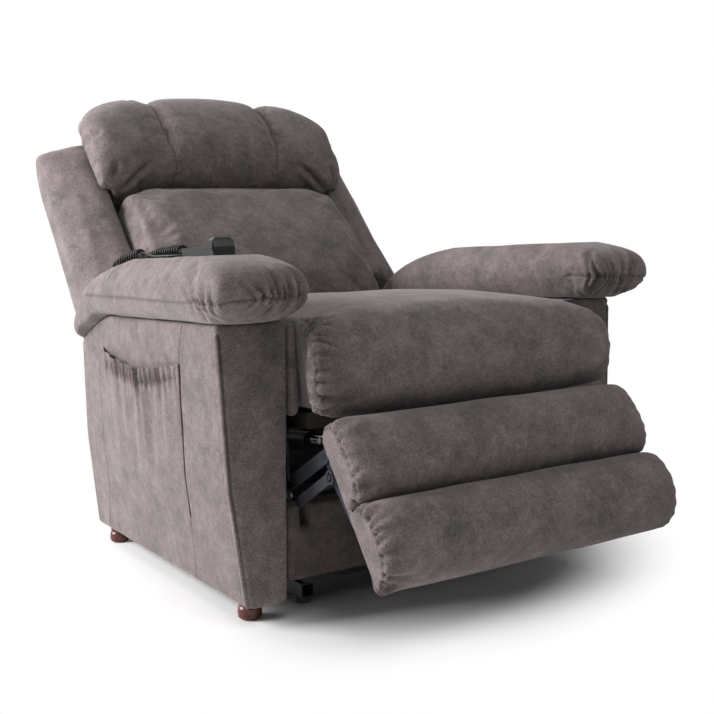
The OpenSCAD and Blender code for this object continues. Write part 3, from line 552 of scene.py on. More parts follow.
def makeArm():
    low, top = armSpec["low"], armSpec["top"]
    rings = []
    for z in armSpec["levels"]:
        ring = armRing(z)
        # soft bottom and top edges
        pull = 3.5 * (1 - min(1, (z - low) / 8)) ** 2 + 4 * max(0, (z - top + 8) / 8) ** 2
        cx, cy = np.mean([p[0] for p in ring]), np.mean([p[1] for p in ring])
        rings.append([(x + pull * (1 if x < cx else -1), y + pull * (1 if y < cy else -1), z) for x, y, z in ring])
    bm = loft(rings)
    for cap in [f for f in bm.faces if len(f.verts) > 4]:
        bmesh.ops.triangulate(bm, faces=[cap])
    piece = fine(objectOf("armRight", bm), 1)
    x, y, z = placed(coords(piece)).T
    side = np.clip((-x - 330) / 90, 0, 1)  # the cloth lies in a slight crown over the padding
    up, back = np.clip((z - low) / (top - low), 0, 1), np.clip(y / 770, 0, 1)
    push(piece, 2.4 * np.sin(up * math.pi) * np.sin(back * math.pi) * side)
    lump(piece, 0.7, 70, 3.0)
    # piping and a seam beside the outer front corner
    ridge = seamOn(piece, [(-lookup(z, armSpec["side"]) - 2, 3 + 8 * (1 - z / top), z) for z in range(36, 516, 20)])
    away = alongSeam(piece, ridge)[0]
    push(piece, 1.9 * np.exp(-((away - 2.5) / 2.2) ** 2) - 1.6 * np.exp(-((away - 8.5) / 3.0) ** 2))
    # the dip beside the piping is painted in shade on the front face
    onFront = coords(piece)[:, 1] < (armFront + 4) * mm
    shade(piece, slice(None), 0.8 * onFront * np.exp(-((away - 6.5) / 2.2) ** 2))
    for points in armSpec["seams"]:
        sew(piece, seamOn(piece, points), 1.8, 3.0, 0.5)
    return piece


armRight = makeArm()
armLeft = mirrored(armRight, "armLeft")
finished(armRight, "chair", "arm_right")
finished(armLeft, "chair", "arm_left")
print("arms covered")


# arm pads

padSpec = {"voxel": 5.5, "pressure": 3, "cap": 9, "x": 390, "width": 162,
           "side": [(-94, -62), (-72, -28), (-10, -8), (90, -0.7), (250, -0.7), (400, -4), (500, -16), (590, -40),
                    (655, -72), (708, -118), (737, -153), (714, -174), (680, -156), (600, -132), (535, -114),
                    (400, -114), (200, -114), (20, -114), (-50, -108), (-84, -88)],
           "tacked": ([535, 600, 710], [523, 505, 470]),  # below these heights the pad is fixed to the arm
           "seam": [(-474, y, 556 + 6 * math.sin((y - 40) / 300)) for y in (560, 480, 400, 320, 240, 160, 80, 0, -50)]
           + [(-455, -88, 555), (-425, -98, 557), (-390, -100, 559), (-350, -98, 561), (-325, -85, 563),
              (-308, -60, 566), (-306, -20, 566)]}


def armTop(y):
    return lookup(y, [(armSpec["length"] - c, z) for z, c in reversed(armSpec["cut"][4:])])


def makePad():
    def place(t, p):
        return -(padSpec["x"] + t * (padSpec["width"] / 2 - 2)), p[0], max(p[1], armTop(p[0] - 4) + 0.5)

    side = smoothLine([(y, padTop + z) for y, z in padSpec["side"]], 5, closed=True)
    rings = crownedRings(side, [(-38, padTop - 57), (500, padTop - 66)], 10, 0.62, 2.6, place)
    piece = objectOf("armPadRight", loft(rings))
    stuff(piece, padSpec,
          held=lambda co: co[:, 2] < np.interp(co[:, 1], *padSpec["tacked"]))
    co = coords(piece)
    co[:, 2] = np.minimum(co[:, 2], (padTop - 0.3) * mm)  # the handset and its cord lie on the top
    setCoords(piece, co)
    return piece


def dressPad(piece, side, seed):
    def lowSide(co):
        return co[:, 2] < padTop - 4

    line = seamOn(piece, [(side * -x if side > 0 else x, y, z) for x, y, z in padSpec["seam"]])
    sew(piece, line, 2.4, 2.8, 0.8)
    gather(piece, line, [((side * 471, 24, 556), (side * 468, -72, 556), 1.0)], pitch=14, reach=27, height=5.4,
           seed=seed, sideOf=lowSide)
    gather(piece, line, [((side * 412, -99, 558), (side * 312, -70, 563), 1.0)], pitch=14, reach=46, height=8.5,
           seed=seed + 5, sideOf=lowSide, fan=0.6)
    gather(piece, line, [(20, 60, 0.5)], pitch=14, reach=22, height=3.0, seed=seed + 9, sideOf=lowSide)
    lump(piece, 1.4, 80, seed)


padRight = makePad()
padLeft = mirrored(padRight, "armPadLeft")
dressPad(padRight, -1, 2)
dressPad(padLeft, 1, 9)
finished(padRight, "chair", "arm_pad_right")
finished(padLeft, "chair", "arm_pad_left")
print("arm pads stuffed")


# padding on the arms' inner faces

innerSpec = {"voxel": 8, "pressure": 2, "cap": 2, "x": 299.35, "half": 10.9,
             "side": [(1, 357), (0, 430), (1, 512), (60, 517), (300, 517), (520, 517), (527, 430), (520, 357),
                      (300, 351), (60, 351)]}


def makeInnerPad():
    rings = crownedRings(smoothLine(innerSpec["side"], 5, closed=True), [(60, 434), (460, 434)], 5, 0.95, 3,
                         lambda t, p: (-(innerSpec["x"] + t * innerSpec["half"]), p[0], p[1]))
    return stuff(objectOf("innerPadRight", loft(rings)), innerSpec)


innerRight = makeInnerPad()
innerLeft = mirrored(innerRight, "innerPadLeft")
finished(innerRight, "chair", "inner_pad_right")
finished(innerLeft, "chair", "inner_pad_left")


# pocket: a sheet sewn on three sides, its mouth drawn in by elastic

pocketSpec = {"front": (164, 191), "rear": (568, 617), "low": 161, "mouth": 427, "bow": 22, "hem": 26, "stand": 14,
              "drape": 5.0, "fold": 4.2, "ruffle": 6.0, "ruffles": 23, "columns": 190, "rows": 80}
chance = random.Random(12)  # each ruffle has its place, width, depth and length under the hem
pocketSpec["pleats"] = [(0.02 + 0.96 * (k + chance.uniform(-0.13, 0.13)) / pocketSpec["ruffles"],
                         chance.uniform(0.0095, 0.0125), chance.uniform(0.75, 1.05), chance.uniform(0.0, 0.2))
                        for k in range(pocketSpec["ruffles"] + 1)]


def pocketPlace(u, v):
    top = pocketSpec["mouth"] + pocketSpec["bow"] * abs(2 * u - 0.9) ** 1.7  # the mouth hangs in a bow
    z = pocketSpec["low"] + v * (top - pocketSpec["low"])
    front, rear = (a + (b - a) * (1 - v) for a, b in (pocketSpec["front"], pocketSpec["rear"]))
    edge = math.sin(math.pi * u) ** 0.5
    drape = pocketSpec["drape"] * noise.noise(Vector((u * 6.5 + v * 1.4, v * 1.3, 1.0)))
    wander = 0.6 * noise.noise(Vector((u * 5, v, 8.0)))
    fold = pocketSpec["fold"] * math.cos(2 * math.pi * (u * 8 - 0.9 * v * (u - 0.5) + wander))
    out = pocketSpec["stand"] * edge * v ** 0.8 + (drape + fold * v ** 2) * edge * min(1, 5 * v)
    below = top - z - pocketSpec["hem"]
    for place, wide, deep, long in pocketSpec["pleats"]:
        off = (u - place) / wide
        if abs(off) < 4:
            shape = -math.exp(-off ** 2) + 0.5 * math.exp(-(abs(off) - 1.9) ** 2)
            reach = 1 if below < 0 else math.exp(-below / (9 + 60 * long))
            out += pocketSpec["ruffle"] * deep * shape * reach * edge * (0.75 + 0.25 * math.cos(below / 9))
    out -= 3.2 * edge * math.exp(-(below / 2.6) ** 2)  # the hem's stitch line
    out += 1.2 * edge * math.exp(-((below + pocketSpec["hem"]) / 5) ** 2)
    return -(lookup(z, armSpec["side"]) + 2.0 + 0.8 * edge + max(out, 0.4)), front + (rear - front) * u, z


def makePocket():
    bm = bmesh.new()
    bmesh.ops.create_grid(bm, x_segments=pocketSpec["columns"], y_segments=pocketSpec["rows"], size=0.5)
    for vert in bm.verts:
        vert.co = put(*pocketPlace(vert.co.x + 0.5, vert.co.y + 0.5))
    piece = objectOf("pocket", bm)
    if piece.data.polygons[0].normal.x > 0:
        piece.data.flip_normals()
    thicken(piece, -1)
    return fine(piece, 1)


pocket = makePocket()
finished(pocket, "chair", "side_pocket")
print("pocket sewn")


# seat cushion

seatSpec = {"voxel": 8, "pressure": 3, "cap": 10, "low": 356, "top": 535, "half": 285, "flare": 330,
            "rows": [(-131, 0.36, 0.5), (-127, 0.17, 0.62), (-115, 0.03, 0.74), (-96, 0, 0.85), (-66, 0, 0.92),
                     (-32, 0, 0.965), (-10, 0, 0.98), (-5, 0, 0.983), (50, 0, 0.993), (150, 0, 1), (300, 0, 1),
                     (420, 0, 0.995), (490, 0, 0.975), (526, 0.02, 0.93), (545, 0.13, 0.82), (553, 0.38, 0.6)],
            "seam": [(287, 0, 524), (290, -35, 516), (302, -72, 502), (322, -104, 476), (329, -120, 446),
                     (329, -121, 415), (325, -112, 385), (316, -98, 364)]}


def makeSeat():
    low, tall = seatSpec["low"], seatSpec["top"] - seatSpec["low"]
    outline = [(y, low + high * tall) for y, under, high in seatSpec["rows"]]
    outline += [(y, low + under * tall) for y, under, high in reversed(seatSpec["rows"])]
    side = []
    for a, b in zip(outline, outline[1:] + outline[:1]):
        side += stretch(a, b, max(1, int(math.dist(a, b) / 12)))

    def place(t, p):
        half = seatSpec["half"] + (seatSpec["flare"] - seatSpec["half"]) * ease(-(p[0] + 45) / 75)
        return (t * half, p[0], p[1])

    rings = crownedRings(side, [(-40, low + tall / 2), (460, low + tall / 2)], 14, 0.8, 4, place)
    piece = objectOf("seatCushion", loft(rings))
    stuff(piece, seatSpec,
          held=lambda co: (co[:, 2] < 372) | ((np.abs(co[:, 0]) > 278) & (co[:, 1] > -20)))
    for sign in (-1, 1):
        line = seamOn(piece, [(sign * x, y, z) for x, y, z in seatSpec["seam"]])
        sew(piece, line, 2.4, 3.6, 0.8)
        gather(piece, line, [(20, 250, 1.0 if sign < 0 else 0.12)], pitch=17, reach=40, height=8.0, seed=4 + sign)
    lump(piece, 2.0, 120, 5.0)
    return piece


seatCushion = makeSeat()
finished(seatCushion, "chair", "seat_cushion")
print("seat stuffed")


# leg rest rolls

rollSpec = {"voxel": 6, "pressure": 3, "cap": 7, "half": 316, "out": 73, "base": -20,
            "upper": [(-2, -0.14), (-4, 0.14), (3, 0.62), (24, 0.9), (60, 0.99), (100, 0.96), (127, 0.76),
                      (139, 0.42), (140, 0.0), (136, -0.26), (118, -0.28), (24, -0.28)],
            "lower": [(142.5, -0.26), (141, 0.05), (143.5, 0.44), (156, 0.78), (184, 0.97), (218, 0.98), (246, 0.82),
                      (266, 0.52), (277, 0.1), (279, -0.3), (278, -0.46), (276, -0.3), (258, -0.28), (162, -0.28)]}


def rollRing(key, g):
    spread = [s for s, t in rollSpec[key]]
    middle, base = (min(spread) + max(spread)) / 2, rollSpec["base"]
    return smoothLine([onBoard(middle + (s - middle) * (0.96 + 0.04 * g),
                               base + (t * rollSpec["out"] - base) * (0.58 + 0.42 * g))
                       for s, t in rollSpec[key]], 6, closed=True)


def makeRoll(name, key, seed):
    rings = []
    for i in range(-14, 15):
        u = math.sin(math.pi / 2 * i / 14)
        g = max(1 - abs(u) ** 7, 0) ** (1 / 4)
        rings.append([(u * rollSpec["half"], *p) for p in rollRing(key, g)])
    piece = objectOf(name, loft(rings))

    def tacked(co):
        t = -(co[:, 1] - boardFoot[0]) * math.cos(boardLean) + (co[:, 2] - boardFoot[1]) * math.sin(boardLean)
        return (t < -12) | (np.abs(co[:, 0]) > 313)

    stuff(piece, rollSpec, held=tacked)
    ends = rollRing(key, 0.12)
    first, last = (2, 44) if key == "upper" else (8, 56)
    for sign in (-1, 1):
        line = seamOn(piece, [(sign * 315, *p) for p in ends[first:last:3]])
        sew(piece, line, 1.8, 3.0, 0.8)
        gather(piece, line, [(4, 260, 1.0 if sign < 0 else 0.2)], pitch=14, reach=36, height=6.0, seed=seed + sign,
               sideOf=lambda co: np.abs(co[:, 0]) < 315)
    lump(piece, 1.6, 100, float(seed))
    return piece


rollUpper = makeRoll("legRollUpper", "upper", 11)
rollLower = makeRoll("legRollLower", "lower", 17)
finished(rollUpper, "leg_rest", "leg_roll_upper")
finished(rollLower, "leg_rest", "leg_roll_lower")
print("leg rest stuffed")


# back cushions

lumbarSpec = {"voxel": 8, "pressure": 3, "cap": 10, "half": 281, "thick": 118, "raise": 25,
              "side": [(6, 0.1), (6, 0.5), (18, 0.76), (52, 0.98), (110, 1.14), (200, 1.2), (300, 1.14), (370, 1),
                       (406, 0.8), (410, 0.45), (404, 0.06), (300, 0), (180, 0), (60, 0)]}


def backShare(co):
    dy, dz = co[:, 1] - backFoot[0], co[:, 2] - backFoot[1]
    return (dy * math.sin(backLean) + dz * math.cos(backLean), -dy * math.cos(backLean) + dz * math.sin(backLean))


# the line between the two cushions stands higher in the middle than at the corners
def raised(x):
    return lumbarSpec["raise"] * (1 - ease((abs(x) - 200) / 80))


def makeLumbar():
    side = smoothLine([onBack(s, -37 + t * lumbarSpec["thick"]) for s, t in lumbarSpec["side"]], 6, closed=True)

    def place(t, p):
        s = (p[0] - backFoot[0]) * math.sin(backLean) + (p[1] - backFoot[1]) * math.cos(backLean)
        up = raised(t * lumbarSpec["half"]) * ease((s - 300) / 90)
        return (t * lumbarSpec["half"], p[0] + up * math.sin(backLean), p[1] + up * math.cos(backLean))

    rings = crownedRings(side, [onBack(64, 12), onBack(350, 12)], 12, 0.84, 4, place)
    piece = objectOf("lumbarCushion", loft(rings))
    stuff(piece, lumbarSpec, held=lambda co: backShare(co)[1] < -22)
    for sign in (-1, 1):
        sew(piece, seamOn(piece, [(sign * 270, *onBack(s, 62)) for s in range(20, 400, 40)]), 0.9, 3.0, 0.3)
    lump(piece, 2.2, 130, 23.0)
    return piece


headSpec = {"voxel": 6.5, "pressure": 3.5, "cap": 12, "half": 328, "seam": 146, "shoulder": 293.3,
            "pinch": 0.09, "lobe": 0.03, "corner": 66, "arch": 11,
            "side": [(416, 6), (419, 70), (442, 108), (500, 130), (580, 138), (650, 126), (700, 90), (730, 38),
                     (733, -20), (716, -62), (684, -80), (656, -72), (646, -40), (590, -36.5), (500, -36.5),
                     (425, -35)],
            "stops": (0.06, 0.12, 0.2, 0.28, 0.34, 0.38, 0.41, 0.43, 0.445, 0.46, 0.48, 0.51, 0.56, 0.62, 0.68, 0.76,
                      0.83, 0.875, 0.93, 0.965, 0.985, 1),
            "line": [(436, 100), (470, 122), (520, 132), (580, 138), (650, 126), (700, 90), (730, 38), (733, -20),
                     (716, -62)],
            # each fold: its points as x, s, t, then its depth and width
            "folds": [([(152, 722, 20), (185, 716, 45), (225, 696, 78)], 3.4, 6),
                      ([(153, 705, 75), (188, 690, 95), (220, 668, 112)], 2.6, 6),
                      ([(292, 412, 40), (250, 424, 76), (222, 442, 94), (194, 458, 110)], 9.0, 8),
                      ([(300, 440, 66), (284, 470, 98)], 3.5, 7)]}


def makeHead():
    side = smoothLine([onBack(s, t) for s, t in headSpec["side"]], 5, closed=True)
    spine, origin = [np.array(onBack(480, 30)), np.array(onBack(655, 30))], np.array(backFoot)
    along = np.array((math.sin(backLean), math.cos(backLean)))
    forward = np.array((-math.cos(backLean), math.sin(backLean)))
    half, seam, step = headSpec["half"], headSpec["seam"], headSpec["shoulder"] / headSpec["half"]
    rings = []
    for t in sorted({0, step, -step} | {sign * v for sign in (-1, 1) for v in headSpec["stops"]}):
        full = 0.72 + 0.28 * max(1 - abs(t) ** 3.2, 0) ** (1 / 3)
        x = abs(t * half)
        ring = []
        for p in side:
            a = nearestOn(p, *spine)
            s = float((p - origin) @ along)
            pinch = (0.03 + headSpec["pinch"] * ease((s - 440) / 120)) * math.exp(-((x - seam) / 22) ** 2)
            lobe = headSpec["lobe"] * ease((x - seam) / 12)
            q = a + (p - a) * full * (1 - pinch - lobe)
            q = q - headSpec["corner"] * max(0, (x - 200) / 128) ** 2.3 * ease((s - 540) / 160) * along
            arch = headSpec["arch"] * max(0, 1 - (x / seam) ** 2) * ease((s - 600) / 80)
            q = q + (arch + raised(x) * ease((540 - s) / 110)) * along
            if abs(t) >= step:  # the ends lie in front of the wings
                q = q + max(44 - float((q - origin) @ forward), 0) * forward
            ring.append((t * half, q[0], q[1]))
        rings.append(ring)
    piece = objectOf("headCushion", loft(rings))

    def tacked(co):
        s, t = backShare(co)
        return ((t < -25) & (s < 650)) | (np.abs(np.abs(co[:, 0]) - headSpec["seam"]) < 4) | \
            ((np.abs(co[:, 0]) > 288) & (t < 50))

    stuff(piece, headSpec, held=tacked, slack=0.02)
    for sign in (-1, 1):
        line = seamOn(piece, [(sign * (headSpec["seam"] - 14 * min(1, max(0, (500 - s) / 90))), *onBack(s, t))
                              for s, t in headSpec["line"]])
        sew(piece, line, 2.6, 4.0, 0.9)
        for points, depth, width in headSpec["folds"]:
            crease(piece, [(sign * x, *onBack(s, t)) for x, s, t in points], depth, width)
        gather(piece, seamOn(piece, [(sign * 318, *onBack(s, 72)) for s in range(470, 700, 20)]), [(60, 190, 0.7)],
               pitch=18, reach=20, height=3.0, seed=35 + sign)
    lump(piece, 2.0, 120, 41.0)
    return piece


lumbar = makeLumbar()
head = makeHead()
finished(lumbar, "back", "lumbar_cushion")
finished(head, "back", "head_cushion")
print("back cushions stuffed")


# wings and back cover

# each ring of the wing: its place from the inner to the outer side, how far its front stands out, how much it shrinks
wingSpec = {"voxel": 7, "pressure": 2, "cap": 4, "inner": 294.3, "outer": 420, "low": 140,
            "rings": [(0, 26, 8), (0.03, 33, 2), (0.06, 37, 0), (0.2, 34, 0), (0.35, 30, 0), (0.55, 20, 0),
                      (0.75, 10, 0), (0.88, 0, 1), (0.95, -9, 3), (0.985, -17, 7), (1, -24, 12)],
            "rear": [(545, -101), (498, -108), (445, -114), (391, -118), (300, -125), (219, -130)]}


def wingRing(front, shrink):
    points = []
    for k in range(9):
        turn = math.radians(-66) + k * (math.radians(66) + math.asin(front / wingSpec["low"])) / 8
        r = wingSpec["low"] + shrink
        points.append((r * math.cos(turn), r * math.sin(turn)))
    points += [(s, front - shrink) for s in (220, 300, 370, 440)]
    points += [(500, front - shrink - 1), (560, front - shrink - 2), (590, front - shrink - 6),
               (612 - shrink, front - 14), (629 - shrink, (front - 54) / 2), (638 - shrink, -40),
               (635 - shrink, -54 + shrink * 0.5)]
    points += [(s - shrink, t + shrink) for s, t in ((626, -66), (607, -80), (584, -92))]
    points += [(s, t + shrink) for s, t in wingSpec["rear"]]
    return [onBack(s, t) for s, t in points]


def makeWing():
    reach = wingSpec["outer"] - 2 - wingSpec["inner"]
    rings = [[(-(wingSpec["inner"] + share * reach), *p) for p in wingRing(front, shrink)]
             for share, front, shrink in wingSpec["rings"]]
    piece = objectOf("wingRight", loft(rings))
    stuff(piece, wingSpec, held=lambda co: np.abs(co[:, 0]) < 300)
    gather(piece, seamOn(piece, [(-300, *onBack(s, 10)) for s in range(540, 630, 15)]), [(20, 90, 0.6)],
           pitch=18, reach=26, height=3.0, seed=53)
    lump(piece, 1.4, 100, 51.0)
    return piece


wingRight = makeWing()
wingLeft = mirrored(wingRight, "wingLeft")
finished(wingRight, "back", "wing_right")
finished(wingLeft, "back", "wing_left")


coverSpec = {"half": 288, "wall": 14, "edge": 3, "seams": (-150, 150),
             "outer": [(-40, -119), (60, -127), (219, -130), (391, -118), (498, -108), (584, -92), (626, -66),
                       (641, -42)]}


def makeBackCover():
    line = smoothLine(coverSpec["outer"], 6)
    wall = coverSpec["wall"]
    inner = [(s - (wall if s > 584 else 0), t + wall * ease((641 - s) / 30)) for s, t in line]
    ring = [onBack(s, t) for s, t in line] + [onBack(s, t) for s, t in reversed(inner)]
    piece = objectOf("backCover", loft([[(x, *p) for p in ring]
                                        for x in np.linspace(-coverSpec["half"], coverSpec["half"], 49)]))
    edge = piece.modifiers.new("edge", "BEVEL")
    edge.width = coverSpec["edge"] * mm
    edge.segments = 3
    edge.limit_method = "ANGLE"
    apply(piece)
    for x in coverSpec["seams"]:
        sew(piece, seamOn(piece, [(x, *onBack(s, t - 2)) for s, t in coverSpec["outer"]]), 1.4, 3.0, 0.5)
    return piece


backCover = makeBackCover()
finished(backCover, "back", "back_shell")
print("back covered")


# covered rails, in the darker copy of the microfibre, which is painted shade

def block(bm, x0, x1, y0, y1, z0, z1, taper=0.0):
    made = bmesh.ops.create_cube(bm, size=1)["verts"]
    for vert in made:
        x, y, z = vert.co
        upper = z > 0
        vert.co = put(x1 - taper * upper if x > 0 else x0 + taper * upper, y1 if y > 0 else y0, z1 if upper else z0)


def wrapped(name, blocks):
    bm = bmesh.new()
    for one in blocks:
        block(bm, *one)
    piece = objectOf(name, bm, railClothInShade)
    evenGrid(piece, railSpec["voxel"], 3)
    lump(piece, 0.5, 60, 61.0)
    return piece


# the front rail has two notches in its top edge, through which the leg rest's links swing down
railSpec = {"voxel": 4,
            "front": [(-327.5, 327.5, 2.5, 47.5, 67.5, 156.5, 3), (-278.5, 278.5, 2.5, 47.5, 140, 199.5),
                      (-323, -299.5, 2.5, 47.5, 140, 199.5), (299.5, 323, 2.5, 47.5, 140, 199.5)],
            "rear": [(-328.5, 328.5, 701.5, 722.5, 59.5, 242.5, 7.5)]}
frontRail = wrapped("frontRailCover", railSpec["front"])
rearRail = wrapped("rearRailCover", railSpec["rear"])
finished(frontRail, "chair", "front_rail")
finished(rearRail, "chair", "rear_rail")


# a short dark skirt hangs below the rear rail: a sheet of painted shade that hides the lit floor behind the chair
shadeSkirtSpec = {"width": 640, "height": 60, "low": 15, "y": 725.6, "wave": 1.6}


def makeShadeSkirt():
    bm = bmesh.new()
    bmesh.ops.create_grid(bm, x_segments=120, y_segments=8, size=0.5)
    for vert in bm.verts:
        u, v = vert.co.x, vert.co.y + 0.5
        wave = shadeSkirtSpec["wave"] * (1 - v) * math.sin(u * 46 + 2 * noise.noise(Vector((u * 6, 0, 0))))
        vert.co = put(u * shadeSkirtSpec["width"], shadeSkirtSpec["y"] + wave, shadeSkirtSpec["low"] + v * shadeSkirtSpec["height"])
    piece = objectOf("rearShadeSkirt", bm, railClothInShade)
    thicken(piece, 0)
    return apply(piece)


rearShadeSkirt = makeShadeSkirt()
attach(rearShadeSkirt, "chair")
print("rails wrapped")


# metals, plastics, timber

# painted mild steel: a thin satin coat with a faint orange peel of 2.4 mm, duller in dusty patches of 33 mm
def makePaint(name, colour, rough=0.42):
    material, tree, shader, place = newMaterial(name, {"Base Color": linear(colour), "Roughness": rough,
                                                       "IOR": 1.5})
    peel = addNode(tree, "TexNoise", {"Vector": place, "Scale": 420, "Detail": 2})
    addNode(tree, "Bump", {"Strength": 0.12, "Distance": 0.0004, "Height": peel}, to=shader.inputs["Normal"])
    dustAndShade = addNode(tree, "TexNoise", {"Vector": place, "Scale": 30, "Detail": 3})
    addNode(tree, "MapRange", {"Value": dustAndShade, "To Min": rough - 0.07, "To Max": rough + 0.1},
            to=shader.inputs["Roughness"])
    return material


framePaint = makePaint("satinBlackPaint", "#26272b")
linkPaint = makePaint("satinGreyPaint", "#3a3d44")
# the leg brackets: dark satin paint, with a blue-grey tint that is a painted reflection
platePaintAndReflection = makePaint("satinBlackPaintAndBlueReflection", "#2b2d3a")
bracketPaint = makePaint("satinBracketPaint", "#17171a", 0.35)

# zinc plated steel pins and rods: bright, with turning lines drawn coarse, 1 mm apart, so that they show
brightSteel, tree, shader, place = newMaterial("platedSteel", {"Base Color": linear("#d8d8d8"), "Metallic": 1.0,
                                                               "Roughness": 0.18})
turned = addNode(tree, "Mapping", {"Vector": place, "Scale": (40, 900, 900)})
lines = addNode(tree, "TexNoise", {"Vector": turned, "Scale": 1, "Detail": 3})
addNode(tree, "MapRange", {"Value": lines, "To Min": 0.12, "To Max": 0.3}, to=shader.inputs["Roughness"])


# injection moulded plastic: a spark texture of 0.7 mm, and smears of 17 mm where it is handled
def makePlastic(name, colour, rough, grain=0.25, shine=0.5):
    material, tree, shader, place = newMaterial(name, {"Base Color": linear(colour), "Roughness": rough,
                                                       "IOR": 1.49, "Specular IOR Level": shine})
    spark = addNode(tree, "TexNoise", {"Vector": place, "Scale": 1500, "Detail": 1})
    addNode(tree, "Bump", {"Strength": grain, "Distance": 0.0002, "Height": spark}, to=shader.inputs["Normal"])
    smear = addNode(tree, "TexNoise", {"Vector": place, "Scale": 60, "Detail": 3})
    addNode(tree, "MapRange", {"Value": smear, "To Min": rough - 0.05, "To Max": rough + 0.08},
            to=shader.inputs["Roughness"])
    return material


glossPlastic = makePlastic("glossBlackPlastic", "#060607", 0.2, 0.04, 0.28)
shellPlastic = makePlastic("grainedBlackPlastic", "#0b0b0c", 0.42, 0.25, 0.3)
housingPlastic = makePlastic("blackHousingPlastic", "#1c1c1e", 0.5)
buttonPlastic = makePlastic("greyButtonPlastic", "#3b3d42", 0.4)
rubber = makePlastic("mouldedRubber", "#1a1a1a", 0.7, 0.4)


# plywood and beech: long grain with darker late wood every 8 to 11 mm
def makeTimber(name, light, dark, rough, along=(6, 60, 60)):
    material, tree, shader, place = newMaterial(name, {"Roughness": rough, "IOR": 1.5})
    drawn = addNode(tree, "Mapping", {"Vector": place, "Scale": along})
    grain = addNode(tree, "TexNoise", {"Vector": drawn, "Scale": 2.2, "Detail": 6, "Distortion": 0.8})
    addNode(tree, "ValToRGB", {"Fac": grain}, to=shader.inputs["Base Color"], stops=[(0.35, dark), (0.6, light)])
    addNode(tree, "Bump", {"Strength": 0.2, "Distance": 0.0005, "Height": grain}, to=shader.inputs["Normal"])
    return material


board = makeTimber("plainPlywood", "#c4a675", "#a8875a", 0.7)
# the seat deck's plywood darkened as painted shade, for the shaded gap below the seat
boardInShade = makeTimber("plywoodInPaintedShade", "#37302a", "#2a2420", 0.75)
foot = makeTimber("lacqueredBeech", "#5c2416", "#3a150c", 0.24, (40, 40, 8))

# woven elastic webbing: ribs every 3 mm across the strap
webbing, tree, shader, place = newMaterial("elasticWebbing", {"Roughness": 0.85})
ribs = addNode(tree, "TexWave", {"Vector": place, "Scale": 105, "Distortion": 0.4}).outputs["Fac"]
addNode(tree, "ValToRGB", {"Fac": ribs}, to=shader.inputs["Base Color"], stops=[(0.2, "#2b2826"), (0.8, "#4a4541")])
addNode(tree, "Bump", {"Strength": 0.5, "Distance": 0.0008, "Height": ribs}, to=shader.inputs["Normal"])

finishes = {framePaint: ["base_frame", "lift_brackets", "side_plates", "cross_tubes", "back_brackets"],
            linkPaint: ["lift_arms", "lift_links", "rear_links", "guide_links", "front_links", "control_links"],
            platePaintAndReflection: ["leg_brackets"], bracketPaint: ["rail_brackets"],
            brightSteel: ["frame_pins", "arm_bolts", "rail_bolts", "lift_rod", "leg_rod", "back_rod", "seat_springs"],
            housingPlastic: ["lift_motor", "leg_motor", "back_motor", "control_box", "power_inlet"],
            board: ["back_frame"], foot: ["wooden_feet"], webbing: ["back_webbing"],
            rubber: ["base_glides", "handset_gland", "cord_outlet"],
            glossPlastic: ["handset_cover"], shellPlastic: ["handset_body"],
            buttonPlastic: ["button_back", "button_legs", "button_rise", "button_lower"],
            microfibre: ["leg_board"], boardInShade: ["seat_deck"]}
for material, names in finishes.items():
    for name in names:
        nodes[name].data.materials.clear()
        nodes[name].data.materials.append(material)
print("solids finished")


# room

# painted floor, which fades to white some way from the chair
floorSpec = {"radius": 9, "drop": 0.0005, "shift": (0.06, 0.12, 0), "squeeze": (0.85, 1, 1), "from": 0.43, "to": 0.66}


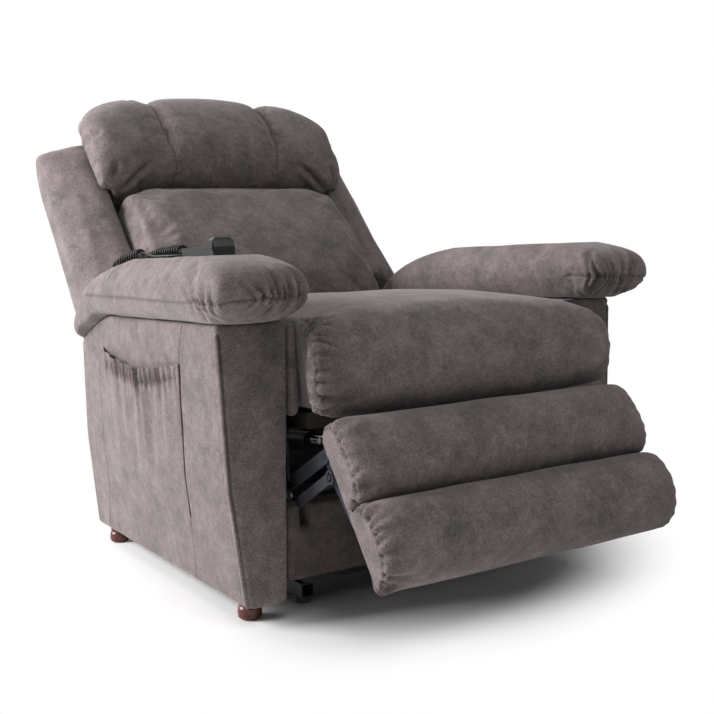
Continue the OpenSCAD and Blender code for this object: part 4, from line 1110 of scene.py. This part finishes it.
def makeFloor():
    bm = bmesh.new()
    bmesh.ops.create_circle(bm, cap_ends=True, cap_tris=True, segments=96, radius=floorSpec["radius"])
    bmesh.ops.translate(bm, vec=(0, 0, -floorSpec["drop"]), verts=bm.verts)
    material, tree, shader, place = newMaterial("paleFloor", {"Base Color": linear("#f4f4f4"), "Roughness": 0.9})
    output = next(n for n in tree.nodes if n.type == "OUTPUT_MATERIAL")
    white = addNode(tree, "Emission", {"Strength": 1.0})
    centred = addNode(tree, "Mapping", {"Vector": place, "Location": floorSpec["shift"],
                                        "Scale": floorSpec["squeeze"]})
    away = addNode(tree, "VectorMath", {0: centred}, operation="LENGTH").outputs["Value"]
    fade = addNode(tree, "MapRange", {"Value": away, "From Min": floorSpec["from"], "From Max": floorSpec["to"]},
                   interpolation_type="SMOOTHSTEP")
    camera = addNode(tree, "LightPath").outputs["Is Camera Ray"]
    seen = addNode(tree, "MixShader", {0: fade, 1: shader, 2: white})
    addNode(tree, "MixShader", {0: camera, 1: shader, 2: seen}, to=output.inputs["Surface"])
    objectOf("floor", bm, material)


def makeLight(name, size, power, place, aim):
    lamp = bpy.data.lights.new(name, "AREA")
    lamp.shape = "RECTANGLE"
    lamp.size, lamp.size_y = size
    lamp.energy = power
    holder = addObject(name, lamp)
    holder.location = place
    holder.rotation_euler = (Vector(aim) - Vector(place)).to_track_quat("-Z", "Y").to_euler()


makeFloor()
lamps = {"key": ((2.0, 2.0), 182, (-3.0, 1.2, 1.75), (0, 0, 0.5)),  # size, watts, place, aim
         "top": ((2.0, 2.0), 20, (-0.4, 1.7, 2.7), (0, 0, 0.4)),
         "fill": ((2.2, 2.0), 37, (-0.1, -2.0, 3.3), (0, 0, 0.4))}
for name, values in lamps.items():
    makeLight(name, *values)

world = bpy.data.worlds.new("studio")
scene.world = world
world.use_nodes = True
tree = world.node_tree
tree.nodes.clear()
path = addNode(tree, "LightPath").outputs
soft = addNode(tree, "Background", {"Color": linear("#ffffff"), "Strength": 0.175})
seen = addNode(tree, "Background", {"Color": linear("#ffffff"), "Strength": 1.0})
first = addNode(tree, "Math", {0: path["Is Camera Ray"], 1: path["Is Glossy Ray"]}, operation="MAXIMUM")
rays = addNode(tree, "Math", {0: first, 1: path["Is Transmission Ray"]}, operation="MAXIMUM")
addNode(tree, "OutputWorld", {"Surface": addNode(tree, "MixShader", {0: rays, 1: soft, 2: seen})})
scene.view_settings.view_transform = "Standard"
print("room lit")
